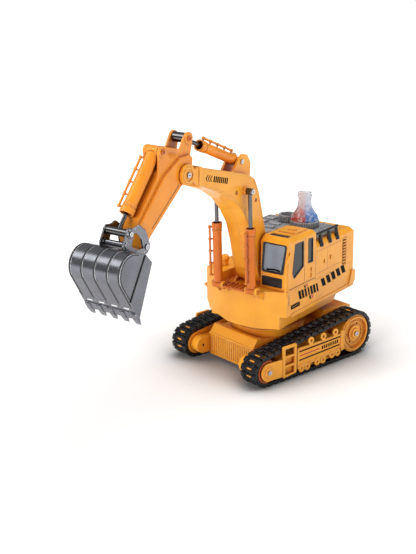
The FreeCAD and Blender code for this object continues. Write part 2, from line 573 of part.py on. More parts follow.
def roof_deck():
    """Raised silver tread plate on the hood, hollow below, with openings under both vents."""
    z0 = HOOD_Z + 0.05
    body = slab_z(DECK_PLAN, z0, ROOF_Z, 2)
    under = slab_z([(x - math.copysign(1.6, x), y + (1.6 if y < 40 else -1.6)) for x, y in DECK_PLAN],
                   z0 - 1, ROOF_Z - 1.4, 1)
    ribs = [box(x, x + 0.8, 17, 65, ROOF_Z - 0.2, ROOF_Z + 0.5) for x in [30.6 + 2.1 * i for i in range(5)]]
    rims = [box(-41, -39.4, 16, 65, ROOF_Z - 0.2, ROOF_Z + 0.7),
            box(41.4, 43, 16, 65, ROOF_Z - 0.2, ROOF_Z + 0.7)]
    holes = [cyl_z(x, y, radius - 2.4, z0 - 1, ROOF_Z + 2) for x, y, radius in (REAR_VENT, MIST_VENT)]
    return cut(fuse(body.cut(under), *ribs, *rims), *holes)


def handrail(x, lean, rail_z, posts, ends):
    """Rail of round rod on posts that lean inwards, with a round knob at each end of the rail."""
    pieces = [cyl(V(x, ends[0], rail_z), V(x, ends[1], rail_z), 1.3)]
    for y in posts:
        pieces.append(cyl(V(x + lean, y, 121.0), V(x, y, rail_z), 1.1))
    for y in ends:
        pieces.append(cyl(V(x, y - 1.4, rail_z), V(x, y + 1.4, rail_z), 1.6))
    return fuse(*pieces).cut(engine_hood())


def handrails():
    """The cab side's rail on three posts, and the shorter rail of the other side."""
    return Part.makeCompound([handrail(46.8, 2.2, 134.2, (23.2, 40.2, 55.4), (15.0, 56.6)),
                              handrail(-44.6, 0, 135.2, (20.6, 34.0, 47.4), (19.0, 49.0))])


def cab_profile(x0, x1, inset, base):
    """Side profile of the cab: raked front, rounded roof, upright rear."""
    points = [(HOUSE_FRONT + inset, base), (HOUSE_FRONT + inset, 136.5 - inset), (-33.5, CAB_Z - inset),
              (8.5 - inset, CAB_Z - inset), (CAB_Y1 - inset, 137 - inset), (CAB_Y1 - inset, base)]
    return slab_x(points, x0, x1, [0, 2, 3, 2, 2, 0])


SIDE_WINDOW = [(-27.4, 134.6), (-11.6, 134.6), (-11.2, 108.3), (-28.6, 99.8), (-32.0, 105.8)]
REAR_WINDOW = [(-2.8, 134.4), (6.2, 134.0), (6.8, 108.8), (-2.4, 109.3)]
WINDSHIELD = [(18.8, 106.4), (41.4, 106.6), (46.8, 135.8), (21.2, 135.6)]
LOWER_PANE = [(18.8, 91.6), (42.0, 91.6), (42.0, 101.0), (18.8, 101.0)]
SKYLIGHT = [(21.0, -32.0), (43.0, -32.0), (43.0, -24.6), (21.0, -24.6)]


def cab_shell():
    """Cab: hollow shell with window openings, raised frames, a door groove and roof ribs."""
    base = BELTLINE_Z + 0.5
    solid = cab_profile(CAB_X0, HOUSE_X, 0, base)
    bevel = slab_y([(HOUSE_X - 3.2, CAB_Z + 1), (HOUSE_X + 1, CAB_Z + 1), (HOUSE_X + 1, CAB_Z - 5)], -60, 30)
    inside = cab_profile(CAB_X0 + WALL, HOUSE_X - WALL, WALL, base - 1)
    keep = slab_y([(HOUSE_X - 6.2, CAB_Z + 1), (HOUSE_X + 1, CAB_Z + 1), (HOUSE_X + 1, CAB_Z - 8)], -60, 30)
    holes = [slab_x(SIDE_WINDOW, HOUSE_X - 4, HOUSE_X + 2, 1.2),
             slab_x(REAR_WINDOW, HOUSE_X - 4, HOUSE_X + 2, 1.0),
             slab_y(WINDSHIELD, HOUSE_FRONT - 2, HOUSE_FRONT + 5, 2.0),
             slab_y(LOWER_PANE, HOUSE_FRONT - 2, HOUSE_FRONT + 5, 1.0),
             slab_z(SKYLIGHT, CAB_Z - 4, CAB_Z + 2, 1.0),
             box(HOUSE_X - 0.5, HOUSE_X + 1, -9.3, -8.7, base + 3, 137),
             box(HOUSE_X - 0.5, HOUSE_X + 1, -37, 11, base + 1.4, base + 1.9)]
    panel = slab_z([(22, -17), (43, -17), (43, 6), (22, 6)], CAB_Z - 0.5, CAB_Z + 0.9, 2.5)
    vent = slab_z([(28, -9), (37, -9), (37, -4), (28, -4)], CAB_Z + 0.5, CAB_Z + 1.8, 1.5)
    body = solid.cut(bevel).cut(inside.cut(keep))
    return cut(fuse(body, panel, vent), *holes)


def window_panes():
    """Dark panes behind the side, rear, lower and roof openings, each a separate plate."""
    side = slab_x(SIDE_WINDOW, HOUSE_X - 1.6, HOUSE_X - 0.7, 1.2)
    rear = slab_x(REAR_WINDOW, HOUSE_X - 1.6, HOUSE_X - 0.7, 1.0)
    lower = slab_y(LOWER_PANE, HOUSE_FRONT + 0.6, HOUSE_FRONT + 1.5, 1.0)
    sky = slab_z(SKYLIGHT, CAB_Z - 1.6, CAB_Z - 0.6, 1.0)
    return Part.makeCompound([side, rear, lower, sky])


def grab_rails():
    """Bent grab rail on the cab's front corner, and the small door and hood latches."""
    x = HOUSE_X + 1.1
    low, bend, high = V(x, -46.8, 84.4), V(x, -45.9, 119.4), V(x, -37.2, 128.0)
    rail = [cyl(low, bend, 0.9), Part.makeSphere(0.95, bend), cyl(bend, high, 0.9),
            Part.makeSphere(0.95, high)]
    reach = [cyl(V(x, -46.75, 86.2), V(HOUSE_X - 1.4, -41.2, 86.2), 0.7), cyl(high, high - V(1.1, 0, 0), 0.7)]
    pieces = [fuse(*rail, *reach).cut(tub_plan(0, 60, BELTLINE_Z, HOUSE_REAR))]
    for y, z in ((3.8, 101.3), (3.8, 95.0), (29.5, 103.4), (42.0, 104.8)):
        pieces.append(box(HOUSE_X, HOUSE_X + 1.2, y - 0.7, y + 0.7, z - 2.0, z + 2.0))
    return Part.makeCompound(pieces)


def build_house():
    add_house("house_tub", house_tub())
    add_house("engine_hood", engine_hood())
    add_house("roof_deck", roof_deck())
    add_house("rear_vent_ring", vent_ring(*REAR_VENT, VENT_TOP + 0.5))
    add_house("mist_vent_ring", mist_cap())
    add_house("mist_chimney", mist_chimney())
    add_house("led_red", led(-1))
    add_house("led_blue", led(1))
    add_house("handrails", handrails())
    add_house("cab_shell", cab_shell())
    add_house("cab_windows", window_panes())
    add_house("windshield", slab_y(WINDSHIELD, HOUSE_FRONT + 0.5, HOUSE_FRONT + 1.5, 2.0))
    add_house("grab_rails", grab_rails())
    lamp = fuse(cyl(V(-36, -26, SIDE_DECK_Z), V(-36, -26, SIDE_DECK_Z + 6), 3.4),
                Part.makeSphere(4.4, V(-36, -26, SIDE_DECK_Z + 7.5)).common(
                    box(-45, -25, -35, -15, SIDE_DECK_Z + 4, SIDE_DECK_Z + 14)))
    post = fuse(cyl_z(-40, 0, 1.1, SIDE_DECK_Z, SIDE_DECK_Z + 17),
                Part.makeSphere(2.2, V(-40, 0, SIDE_DECK_Z + 18)))
    add_house("deck_fittings", Part.makeCompound([lamp, post]))
    chips = [box(-22, -10, 28, 40, 71.6, 74), box(0, 18, 30, 44, 71.6, 73.4), box(-18, 12, 50, 56, 71.6, 76)]
    add_house("circuit_board", fuse(box(-30, 30, 20, 66, 70, 71.6), *chips))
    slew = fuse(cyl_z(24, 6, 8.4, 56, 72), box(12, 36, -6, 18, 53, 56.0))
    add_house("slew_motor", slew)
    boom_motor = fuse(box(-12, 12, -24, 2, 54, 72), cyl(V(0, 2, 63), V(0, 18, 63), 8.0))
    add_house("boom_motor", boom_motor)
    tank = cut(box(-28, 32, 18, 62, 92, 116), box(-26, 30, 20, 60, 94, 117))
    atomiser = cyl_z(MIST_VENT[0], MIST_VENT[1], 9, 94, 97.5)
    add_house("mist_tank", fuse(tank, atomiser))
    screws = [screw(V(x, y, TUB_Z), V(0, 0, -1), 2.0, 7) for x, y in HOUSE_SCREWS]
    add_house("house_screws", Part.makeCompound(screws))


# ---------------------------------------------------------------- boom
BOOM_SIDE = [(-135.9, 227.2), (-57.2, 206.0), (-46.0, 199.0), (-39.6, 186.0), (-35.0, 171.0), (-27.0, 140.0),
             (-20.5, 98.0), (-24.0, 90.5), (-33.0, 90.5), (-42.2, 106.0), (-48.7, 134.2), (-55.4, 154.2),
             (-66.5, 170.5), (-79.9, 184.0), (-95.0, 193.6), (-111.9, 200.6), (-135.9, 210.4)]
BOOM_ROUND = [0, 6, 8, 8, 10, 30, 5, 4, 4, 10, 20, 20, 14, 14, 14, 10, 0]


def boom_half(sign):
    """One moulded half of the boom: outer wall, raised edge bead, hollow inside, tip ear."""
    x_in, x_out = 0.05, BOOM_X
    body = slab_x(BOOM_SIDE, x_in, x_out, BOOM_ROUND)
    face = Part.Face(outline([V(x_in, y, z) for y, z in BOOM_SIDE], BOOM_ROUND))
    hollow = face.makeOffset2D(-WALL).extrude(V(BOOM_X - WALL, 0, 0))
    bead_face = Part.Face(outline([V(x_out, y, z) for y, z in BOOM_SIDE], BOOM_ROUND))
    bead = bead_face.makeOffset2D(-0.6).cut(bead_face.makeOffset2D(-1.9)).extrude(V(0.25, 0, 0))
    shell = body.cut(hollow)
    collar = slab_x([(-137.6, 228.6), (-133.2, 227.4), (-133.2, 210.0), (-137.6, 208.4)], x_in,
                    BOOM_X + 1.8, 0.6)
    ear = lug(TIP, 9.6, [(-137.0, 228.0), (-137.0, 210.0)], STICK_X + 0.6, BOOM_X + 1.0)
    ring = cut(cyl_x(TIP, 7.4, BOOM_X + 0.8, BOOM_X + 1.8), cyl_x(TIP, 5.6, BOOM_X + 0.8, BOOM_X + 1.8))
    foot = cut(cyl_x(FOOT, 6.2, x_in, x_out), cyl_x(FOOT, PIN, x_in - 1, x_out + 1))
    head = cyl_x(ROD_HEAD, 4.6, x_in, x_out)
    sleeve = cyl_x(ROD_HEAD, 3.8, x_out, BOOM_CYLINDER_X - 3.2)
    bracket = slab_x([(-74, 209.5), (-64.4, 221.4), (-58.0, 225.2), (-50.4, 223.4), (-44.6, 214.6),
                      (-46.0, 199)],
                     5.4, 7.8, [0, 2, 3, 3, 2, 0])
    gap = cut(cyl_x(TIP, 11.2, -1, STICK_X + 0.6), box(-2, 30, -135.5, -100, 190, 250))
    shape = fuse(shell, bead, collar, ear, ring, foot, head, sleeve, bracket)
    bores = [cyl_x(TIP, PIN, -1, 30), cyl_x(FOOT, PIN, -1, 30), cyl_x(ROD_HEAD, PIN, -1, 30),
             cyl_x(STICK_BARREL, PIN, -1, 30)]
    recess = [cyl_x(V(0, y, z), 2.0, x_out - 1.0, x_out + 2)
              for y, z in ((-77.0, 191.6), (-44.4, 178.0), (-36, 112))]
    shape = cut(shape, gap, *bores, *recess)
    return shape if sign > 0 else mirror(shape)


def pin_with_heads(at, half, head_radius):
    """Cross pin with a cross-head screw at each end."""
    ends = [screw(V(sign * half, at.y, at.z), V(sign, 0, 0), head_radius, 2) for sign in (-1, 1)]
    return fuse(cyl_x(at, PIN, -half, half), *ends)


def barrel(foot, head, length, radius, bore, x, eye_half, rail_angle):
    """Cylinder barrel from its foot pin towards its head pin: tube, gland collar, pipe rail with clips.

    The rail's angle is measured about the tube from the arm's plane, on its +side, towards -X.
    """
    along = (head - foot).normalize()
    side = V(0, -along.z, along.y)
    start = foot + V(x, 0, 0)
    tube = cyl(start + along * 3.4, start + along * length, radius)
    neck = cyl(start + along * (length - 5.5), start + along * length, radius + 0.7)
    lip = cyl(start + along * (length - 9.0), start + along * (length - 7.2), radius + 0.4)
    eye = cyl_x(foot, radius * 0.86, x - eye_half, x + eye_half)
    turn = math.radians(rail_angle)
    rail_side = (side * math.cos(turn) + V(-math.sin(turn), 0, 0)) * (radius + 2.8)
    rail = cyl(start + along * 9 + rail_side, start + along * (length - 3) + rail_side, 1.1)
    clips = []
    for i in range(5):
        at = start + along * (9.8 + i * (length - 14.2) / 4)
        clips.append(cyl(at - along * 0.9, at + along * 0.9, 1.6).translated(rail_side))
        clips.append(cyl(at, at + rail_side, 0.8))
    hollow = cyl(start + along * 8, start + along * (length + 1), bore)
    return cut(fuse(tube, neck, lip, eye, rail, *clips), hollow, cyl_x(foot, PIN + RUN, x - 9, x + 9))


def rod(head, foot, reach, radius, x, eye_radius, eye_half):
    """Steel rod from its head pin back into the barrel, with a round eye."""
    back = (foot - head).normalize()
    start = head + V(x, 0, 0)
    shaft = cyl(start, start + back * reach, radius)
    eye = cyl_x(head, eye_radius, x - eye_half, x + eye_half)
    return cut(fuse(shaft, eye), cyl_x(head, PIN + RUN, x - eye_half - 1, x + eye_half + 1))


def build_boom():
    add_house("boom_shell_left", boom_half(1))
    add_house("boom_shell_right", boom_half(-1))
    pins = [cyl_x(FOOT, PIN, -17.0, 17.0), pin_with_heads(TIP, BOOM_X + 1.2, 2.6),
            pin_with_heads(ROD_HEAD, BOOM_CYLINDER_X + 3.2, 2.6), pin_with_heads(STICK_BARREL, 8.0, 2.2)]
    add_house("boom_pins", Part.makeCompound(pins))
    foot_pins = [pin_with_heads(BARREL_FOOT, 7.35, 2.2).translated(V(sign * BOOM_CYLINDER_X + 0.55, 0, 0))
                 for sign in (-1, 1)]
    add_house("barrel_foot_pins", Part.makeCompound(foot_pins))
    add_house("stick_motor", fuse(box(-9, 9, -100, -82, 200.5, 209.0),
                                  cyl(V(0, -82, 203.0), V(0, -70, 201.5), 4.6)))
    ends = (-BOOM_CYLINDER_X, BOOM_CYLINDER_X)
    add_house("boom_barrels", Part.makeCompound(
        [barrel(BARREL_FOOT, ROD_HEAD, 64, 4.5, 3.9, x, 4.9, angle) for x, angle in zip(ends, (55, 10))]))
    add_house("boom_rods", Part.makeCompound([rod(ROD_HEAD, BARREL_FOOT, 60, 2.0, x, 3.2, 2.9)
                                              for x in ends]))


# ---------------------------------------------------------------- stick and bucket
HEAD_SIDE = [(-137.6, 252.0), (-141.5, 240.0), (-143.5, 226.0), (-147.5, 215.6), (-157.5, 214.6),
             (-205.0, 176.6), (-207.0, 168.5), (-214.5, 166.6), (-217.2, 178.0), (-215.5, 195.4),
             (-187.1, 228.4), (-185.9, 241.0), (-185.6, 252.4), (-176.6, 253.0), (-173.0, 241.5),
             (-160.0, 240.0), (-149.0, 258.0)]
HEAD_ROUND = [4, 4, 4, 5, 3, 3, 3, 3, 4, 6, 6, 3, 4.2, 4.2, 6, 6, 4]
STICK_SIDE = [(-141.6, 236.5), (-143.5, 226.0), (-147.5, 215.6), (-157.5, 214.6), (-205.0, 176.6),
              (-207.0, 168.5), (-214.5, 166.6), (-217.2, 178.0), (-216.6, 189.4), (-181.0, 226.6),
              (-158.0, 239.2), (-146.0, 239.9)]
STICK_ROUND = [3, 4, 5, 3, 3, 3, 3, 4, 6, 5, 4, 2]


def hollow_of(points, rounds, x_in, x_out):
    """The inside of a moulded half: its outline shrunk by the wall, from x_in up to x_out."""
    face = Part.Face(outline([V(x_in, y, z) for y, z in points], rounds))
    return face.makeOffset2D(-WALL).extrude(V(x_out - x_in, 0, 0))


def stick_half(sign):
    """One moulded half of the stick: wide body, and a narrower head forked for the cylinder eyes."""
    x_in = 0.05
    body = fuse(slab_x(HEAD_SIDE, x_in, HEAD_X, HEAD_ROUND), slab_x(STICK_SIDE, x_in, STICK_X, STICK_ROUND))
    hollows = [hollow_of(HEAD_SIDE, HEAD_ROUND, x_in, HEAD_X - WALL),
               hollow_of(STICK_SIDE, STICK_ROUND, x_in, STICK_X - WALL)]
    groove = slab_x([(-162.0, 215.1), (-201.0, 183.9), (-201.6, 184.7), (-162.6, 215.9)],
                    STICK_X - 0.6, STICK_X + 1)
    fork = [cyl_x(STICK_EAR, 12.5, -1, 7.0), cyl_x(BUCKET_BARREL, 11.0, -1, 6.6),
            box(-1, 7.0, -170, -130, 246, 275), box(-1, 6.8, -200, -170, 243.5, 275),
            link(BUCKET_BARREL, V(0, -198, 228), 7.0, -1, 6.8)]
    shell = cut(body, *hollows)
    eyes = [cyl_x(STICK_EAR, 5.6, 7.0, HEAD_X + 0.6), cyl_x(BUCKET_BARREL, 4.8, 6.6, HEAD_X + 0.6),
            cyl_x(TIP, 8.2, x_in, STICK_X), cyl_x(BUCKET_PIN, 4.8, x_in, STICK_X)]
    shape = fuse(cut(shell, *fork), *eyes)
    bores = [cyl_x(at, PIN, -1, 30) for at in (STICK_EAR, BUCKET_BARREL)]
    bores += [cyl_x(at, PIN + RUN, -1, 30) for at in (TIP, BUCKET_PIN)]
    shape = cut(shape, *bores, groove)
    return shape if sign > 0 else mirror(shape)


BUCKET_SIDE = [(-223.1, 163.1), (-231.0, 172.0), (-285.7, 189.6), (-242.0, 117.4)]
BUCKET_ROUND = [0, 3, 17.2, 0]
BUCKET_MOUTH = [(-227.2, 162.9), (-243.0, 123.6), (-241.05, 119.69), (-236.0, 118.0), (-218.0, 160.0),
                (-223.95, 161.04)]
BUCKET_BANDS = (-27.0, -14.2, 0, 14.2, 27.0)         # x of the grooves round the back
BUCKET_TEETH = (-25.6, -12.8, 0, 12.8, 25.6)


def bucket_shell():
    """Toothed bucket: round-backed shell, side cheeks with a cutter strip, grooves and five teeth."""
    inner_x = BUCKET_X - WALL
    solid = slab_x(BUCKET_SIDE, -BUCKET_X, BUCKET_X, BUCKET_ROUND)
    hollow = hollow_of(BUCKET_SIDE, BUCKET_ROUND, -inner_x, inner_x)
    mouth = slab_x(BUCKET_MOUTH, -inner_x, inner_x)
    strip = both_sides(slab_x([BUCKET_SIDE[0], BUCKET_SIDE[1], (-252.6, 134.9), BUCKET_SIDE[3]],
                              BUCKET_X - 0.1, BUCKET_X + 0.7))
    lip = slab_x([(-246.7, 124.0), (-242.5, 117.1), (-241.6, 117.6), (-244.5, 124.2)], -BUCKET_X, BUCKET_X)
    teeth = [slab_x([(-246.8, 122.8), (-242.8, 116.4), (-238.7, 111.6), (-240.0, 117.8), (-243.4, 123.0)],
                    x - 2.6, x + 2.6) for x in BUCKET_TEETH]
    face = Part.Face(outline([V(-0.45, y, z) for y, z in BUCKET_SIDE], BUCKET_ROUND))
    band = face.makeOffset2D(4).cut(face.makeOffset2D(-0.6)).extrude(V(0.9, 0, 0)).common(
        slab_x([(-234, 190), (-290, 190), (-290, 129), (-246, 129), (-246, 150), (-234, 165)], -2, 2))
    grooves = [band.translated(V(x, 0, 0)) for x in BUCKET_BANDS]
    return cut(fuse(cut(solid, hollow, mouth), lip, *strip, *teeth), *grooves)


def bucket_bracket():
    """Silver hanger: two inner cheeks with the lower cross shaft, and a curved link outside each of them."""
    x_in = STICK_X + 0.3
    cheeks = both_sides(slab_x([(-234.0, 192.6), (-227.6, 191.4), (-226.6, 186.0), (-230.5, 176.0),
                                (-222.0, 170.6),
                                (-222.0, 167.0), (-240.0, 171.0), (-242.0, 178.6)], x_in, x_in + 1.3,
                               [3, 2, 1, 2, 1, 0, 1, 3]))
    banana = slab_x([(-227.0, 190.5), (-220.6, 193.4), (-211.5, 186.0), (-206.4, 172.4), (-208.8, 166.6),
                     (-215.0, 166.8), (-217.4, 180.0)], x_in + 0.2, x_in + 1.8, [2, 3, 8, 2, 3, 3, 8])
    bridge = slab_x([(-236.0, 190.5), (-222.0, 192.0), (-222.0, 187.0), (-234.0, 185.0)], x_in + 0.2,
                    x_in + 1.5, 1)
    base = slab_x([(-212.0, 171.0), (-208.0, 166.4), (-222.0, 161.4), (-240.0, 168.4), (-240.0, 174.4),
                   (-226.0, 171.0)], x_in + 0.2, x_in + 1.6, [1, 1, 0, 0, 0, 1])
    bosses = [cyl_x(BUCKET_PIN, 4.4, x_in, x_in + 2.2), cyl_x(ROD_PIN, 3.6, x_in, x_in + 2.4),
              cyl_x(LOW_SHAFT, 3.2, x_in, x_in + 2.1)]
    whole = fuse(*cheeks, *both_sides(fuse(banana, bridge, base, *bosses)),
                 cyl_x(LOW_SHAFT, 2.4, -13.4, 13.4))
    whole = whole.cut(slab_x(BUCKET_SIDE, -BUCKET_X, BUCKET_X, BUCKET_ROUND))
    return cut(whole, cyl_x(BUCKET_PIN, PIN, -30, 30), cyl_x(ROD_PIN, PIN, -30, 30))


def build_stick():
    add_house("stick_shell_left", stick_half(1))
    add_house("stick_shell_right", stick_half(-1))
    pins = [pin_with_heads(STICK_EAR, HEAD_X + 0.8, 2.4), pin_with_heads(BUCKET_BARREL, HEAD_X + 0.8, 2.2)]
    add_house("stick_pins", Part.makeCompound(pins))
    add_house("bucket_motor", box(-6.4, 6.4, -181, -164, 213, 221.5))
    add_house("stick_barrel", barrel(STICK_BARREL, STICK_EAR, 62, 4.9, 4.1, 0, 5.1, 180))
    add_house("stick_rod", rod(STICK_EAR, STICK_BARREL, 56, 2.1, 0, 4.6, 6.4))
    add_house("bucket_barrel", barrel(BUCKET_BARREL, ROD_PIN, 62, 5.8, 5.1, 0, 6.2, 125))
    add_house("bucket_rod", rod(ROD_PIN, BUCKET_BARREL, 42, 1.9, 0, 3.6, 11.2))
    add_house("bucket_shell", bucket_shell())
    add_house("bucket_bracket", bucket_bracket())
    pins = [pin_with_heads(BUCKET_PIN, STICK_X + 2.6, 2.4), pin_with_heads(ROD_PIN, STICK_X + 2.8, 2.2)]
    add_house("bucket_pins", Part.makeCompound(pins))


build_tracks()
build_chassis()
build_turntable()
build_house()
build_boom()
build_stick()

os.makedirs("parts", exist_ok=True)
for name, shape in parts.items():
    shape.exportStep("parts/" + name + ".step")
    if not shape.isValid() or any(not solid.isClosed() for solid in shape.Shells):
        print("not a clean solid:", name)
print(len(parts), "nodes")
whole = Part.makeCompound(list(parts.values())).BoundBox
print("box", whole)
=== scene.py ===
import json
import math

import bmesh
import bpy
from mathutils import Matrix, Vector


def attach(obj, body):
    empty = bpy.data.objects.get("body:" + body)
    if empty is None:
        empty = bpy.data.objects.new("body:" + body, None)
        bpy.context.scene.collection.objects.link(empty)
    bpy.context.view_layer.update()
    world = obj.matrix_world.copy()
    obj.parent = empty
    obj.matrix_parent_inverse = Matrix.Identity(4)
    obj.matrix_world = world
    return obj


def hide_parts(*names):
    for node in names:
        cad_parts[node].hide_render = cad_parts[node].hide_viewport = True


# Toy excavator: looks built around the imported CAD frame. Pieces are drawn in millimetres, either in the
# chassis' square frame or in the upper machine's, which stands turned about the slewing axis.
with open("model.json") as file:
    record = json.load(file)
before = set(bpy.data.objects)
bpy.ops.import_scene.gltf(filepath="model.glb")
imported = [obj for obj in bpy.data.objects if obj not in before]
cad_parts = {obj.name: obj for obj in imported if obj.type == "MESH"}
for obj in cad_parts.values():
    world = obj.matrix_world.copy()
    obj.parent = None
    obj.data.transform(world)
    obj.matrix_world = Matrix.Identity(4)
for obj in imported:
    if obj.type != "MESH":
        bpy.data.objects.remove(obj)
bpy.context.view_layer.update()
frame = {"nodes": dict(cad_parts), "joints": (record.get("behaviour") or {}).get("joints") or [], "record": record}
nodes = frame["nodes"]
MM = 0.001

joints = {j["name"]: j for j in frame["joints"]}
SLEW_AT = Vector(joints["slew"]["pos_m"])
ACROSS = Vector(joints["boom_lift"]["axis"]).normalized()
ALONG = Vector((-ACROSS.y, ACROSS.x, 0.0))
SIDES = ((1, "Cab_Side"), (-1, "Far_Side"))       # sign of x, and the end of a piece's name


def house(x, y, z):
    """A point of the upper machine, in mm, as a point of the CAD's frame in metres."""
    p = SLEW_AT + ACROSS * (x * MM) + ALONG * (y * MM)
    return Vector((p.x, p.y, z * MM))


def chassis(x, y, z):
    """A point of the chassis, in mm, as a point of the CAD's frame in metres."""
    return Vector((SLEW_AT.x + x * MM, SLEW_AT.y + y * MM, z * MM))


# ---------------------------------------------------------------- material helpers
MIDDLE = (0.3, 0.7)                               # where most of a noise's values lie


def srgb(r, g, b):
    """An sRGB colour, 0 to 255, as linear RGBA."""
    out = []
    for c in (r, g, b):
        c /= 255
        out.append(c / 12.92 if c <= 0.04045 else ((c + 0.055) / 1.055) ** 2.4)
    return (*out, 1.0)


def set_range(node, low, high, to_low, to_high):
    """Sets the four ends of a Map Range node."""
    for socket, v in zip(("From Min", "From Max", "To Min", "To Max"), (low, high, to_low, to_high)):
        node.inputs[socket].default_value = v


class Nodes:
    """Short calls for building one material's node tree."""

    def __init__(self, name):
        self.mat = bpy.data.materials.new(name)
        self.mat.use_nodes = True
        self.tree = self.mat.node_tree
        self.tree.nodes.clear()
        self.out = self.tree.nodes.new("ShaderNodeOutputMaterial")
        self.shader = self.tree.nodes.new("ShaderNodeBsdfPrincipled")
        self.link(self.shader.outputs[0], self.out.inputs["Surface"])
        self.place = self.tree.nodes.new("ShaderNodeTexCoord").outputs["Object"]

    def link(self, a, b):
        self.tree.links.new(a, b)

    def node(self, kind, **values):
        """A new node of a kind, with its own settings."""
        n = self.tree.nodes.new(kind)
        for key, value in values.items():
            setattr(n, key, value)
        return n

    def set(self, **values):
        """Sets the shader's own sockets; an underscore in a name stands for a space."""
        for key, value in values.items():
            self.shader.inputs[key.replace("_", " ")].default_value = value

    def noise(self, scale, detail=2.0, stretch=None):
        """Noise over the object, its space scaled by stretch along each axis."""
        n = self.node("ShaderNodeTexNoise")
        n.inputs["Scale"].default_value = scale
        n.inputs["Detail"].default_value = detail
        where = self.place
        if stretch:
            m = self.node("ShaderNodeMapping")
            m.inputs["Scale"].default_value = stretch
            self.link(self.place, m.inputs["Vector"])
            where = m.outputs[0]
        self.link(where, n.inputs["Vector"])
        return n.outputs["Fac"]

    def span(self, value, low, high, to_low=0.0, to_high=1.0):
        """A value mapped and clamped from one range to another."""
        n = self.node("ShaderNodeMapRange")
        set_range(n, low, high, to_low, to_high)
        self.link(value, n.inputs["Value"])
        return n.outputs[0]

    def mix(self, factor, a, b):
        """A colour between a at factor 0 and b at factor 1."""
        n = self.node("ShaderNodeMix", data_type="RGBA")
        for socket, v in ((n.inputs[0], factor), (n.inputs[6], a), (n.inputs[7], b)):
            if isinstance(v, (tuple, float)):
                socket.default_value = v
            else:
                self.link(v, socket)
        return n.outputs[2]

    def soft_edges(self, radius):
        """Rounded-looking moulded edges, and a 0-to-1 mask of where those edges are."""
        bevel = self.node("ShaderNodeBevel", samples=6)
        bevel.inputs["Radius"].default_value = radius
        flat = self.node("ShaderNodeNewGeometry").outputs["Normal"]
        dot = self.node("ShaderNodeVectorMath", operation="DOT_PRODUCT")
        self.link(bevel.outputs[0], dot.inputs[0])
        self.link(flat, dot.inputs[1])
        return bevel.outputs[0], self.span(dot.outputs["Value"], 1.0, 0.8)

    def recess(self, distance, shallow=0.85, deep=0.25):
        """0 in the open and 1 deep in a recess."""
        ao = self.node("ShaderNodeAmbientOcclusion", samples=6)
        ao.inputs["Distance"].default_value = distance
        return self.span(ao.outputs["AO"], shallow, deep)

    def bump(self, height, distance, normal=None):
        """Makes the shader's surface rise and fall with height, on top of a normal if there is one."""
        n = self.node("ShaderNodeBump")
        n.inputs["Distance"].default_value = distance
        n.inputs["Strength"].default_value = 1.0
        self.link(height, n.inputs["Height"])
        if normal is not None:
            self.link(normal, n.inputs["Normal"])
        self.link(n.outputs[0], self.shader.inputs["Normal"])


def moulded(name, colour, deep, wear_and_highlight, rough=(0.3, 0.42), edge=0.0005, grain=0.00002, coat=0.0,
            metallic=0.0, specular=0.5, recess=0.012, streak=None):
    """Moulded or painted part: mottled colour, painted shade in its recesses and crevices, rubbed edges lightened
    partly as wear and partly as a painted highlight, fine grain in the surface.
    """
    n = Nodes(name)
    normal, rim = n.soft_edges(edge)
    cloud = n.span(n.noise(38, 4), *MIDDLE)
    shade = n.mix(n.span(cloud, 0, 1, 0.0, 0.22), colour, deep)
    if streak:
        shade = n.mix(n.span(n.noise(700, 3, streak), 0.35, 0.75, 0.0, 0.35), shade, wear_and_highlight)
    # painted shade: the colour darkens towards deep in recesses and crevices, where shade falls
    corner = n.recess(recess)
    crevice = n.recess(recess * 0.2, 0.75, 0.35)
    for shadow in (corner, crevice):
        shade = n.mix(n.span(shadow, 0, 1, 0.0, 0.8), shade, deep)
    # rubbed edges: the colour lightens at edges, partly as real wear and partly as a painted highlight
    scuff = n.span(n.noise(520, 5), 0.42, 0.62, 0.15, 0.75)
    edge_wear_and_highlight = n.node("ShaderNodeMath", operation="MULTIPLY")
    n.link(rim, edge_wear_and_highlight.inputs[0])
    n.link(scuff, edge_wear_and_highlight.inputs[1])
    n.link(n.mix(edge_wear_and_highlight.outputs[0], shade, wear_and_highlight), n.shader.inputs["Base Color"])
    n.link(n.span(n.noise(160, 4), *MIDDLE, *rough), n.shader.inputs["Roughness"])
    n.set(Metallic=metallic, Specular_IOR_Level=specular, Coat_Weight=coat, Coat_Roughness=0.12)
    n.bump(n.noise(3200, 3), grain, normal)
    return n.mat


def tinted(name, colour, deep):
    """Clear coloured plastic."""
    n = Nodes(name)
    normal, rim = n.soft_edges(0.0006)
    shade = n.mix(n.span(n.noise(90, 3), *MIDDLE), colour, deep)
    # edges lightened towards near white: a painted highlight
    n.link(n.mix(rim, shade, (0.95, 0.95, 0.97, 1.0)), n.shader.inputs["Base Color"])
    n.link(n.span(n.noise(160, 3), *MIDDLE, 0.04, 0.14), n.shader.inputs["Roughness"])
    n.set(Transmission_Weight=0.75, IOR=1.46)
    n.bump(n.noise(260, 3), 0.00008, normal)
    return n.mat


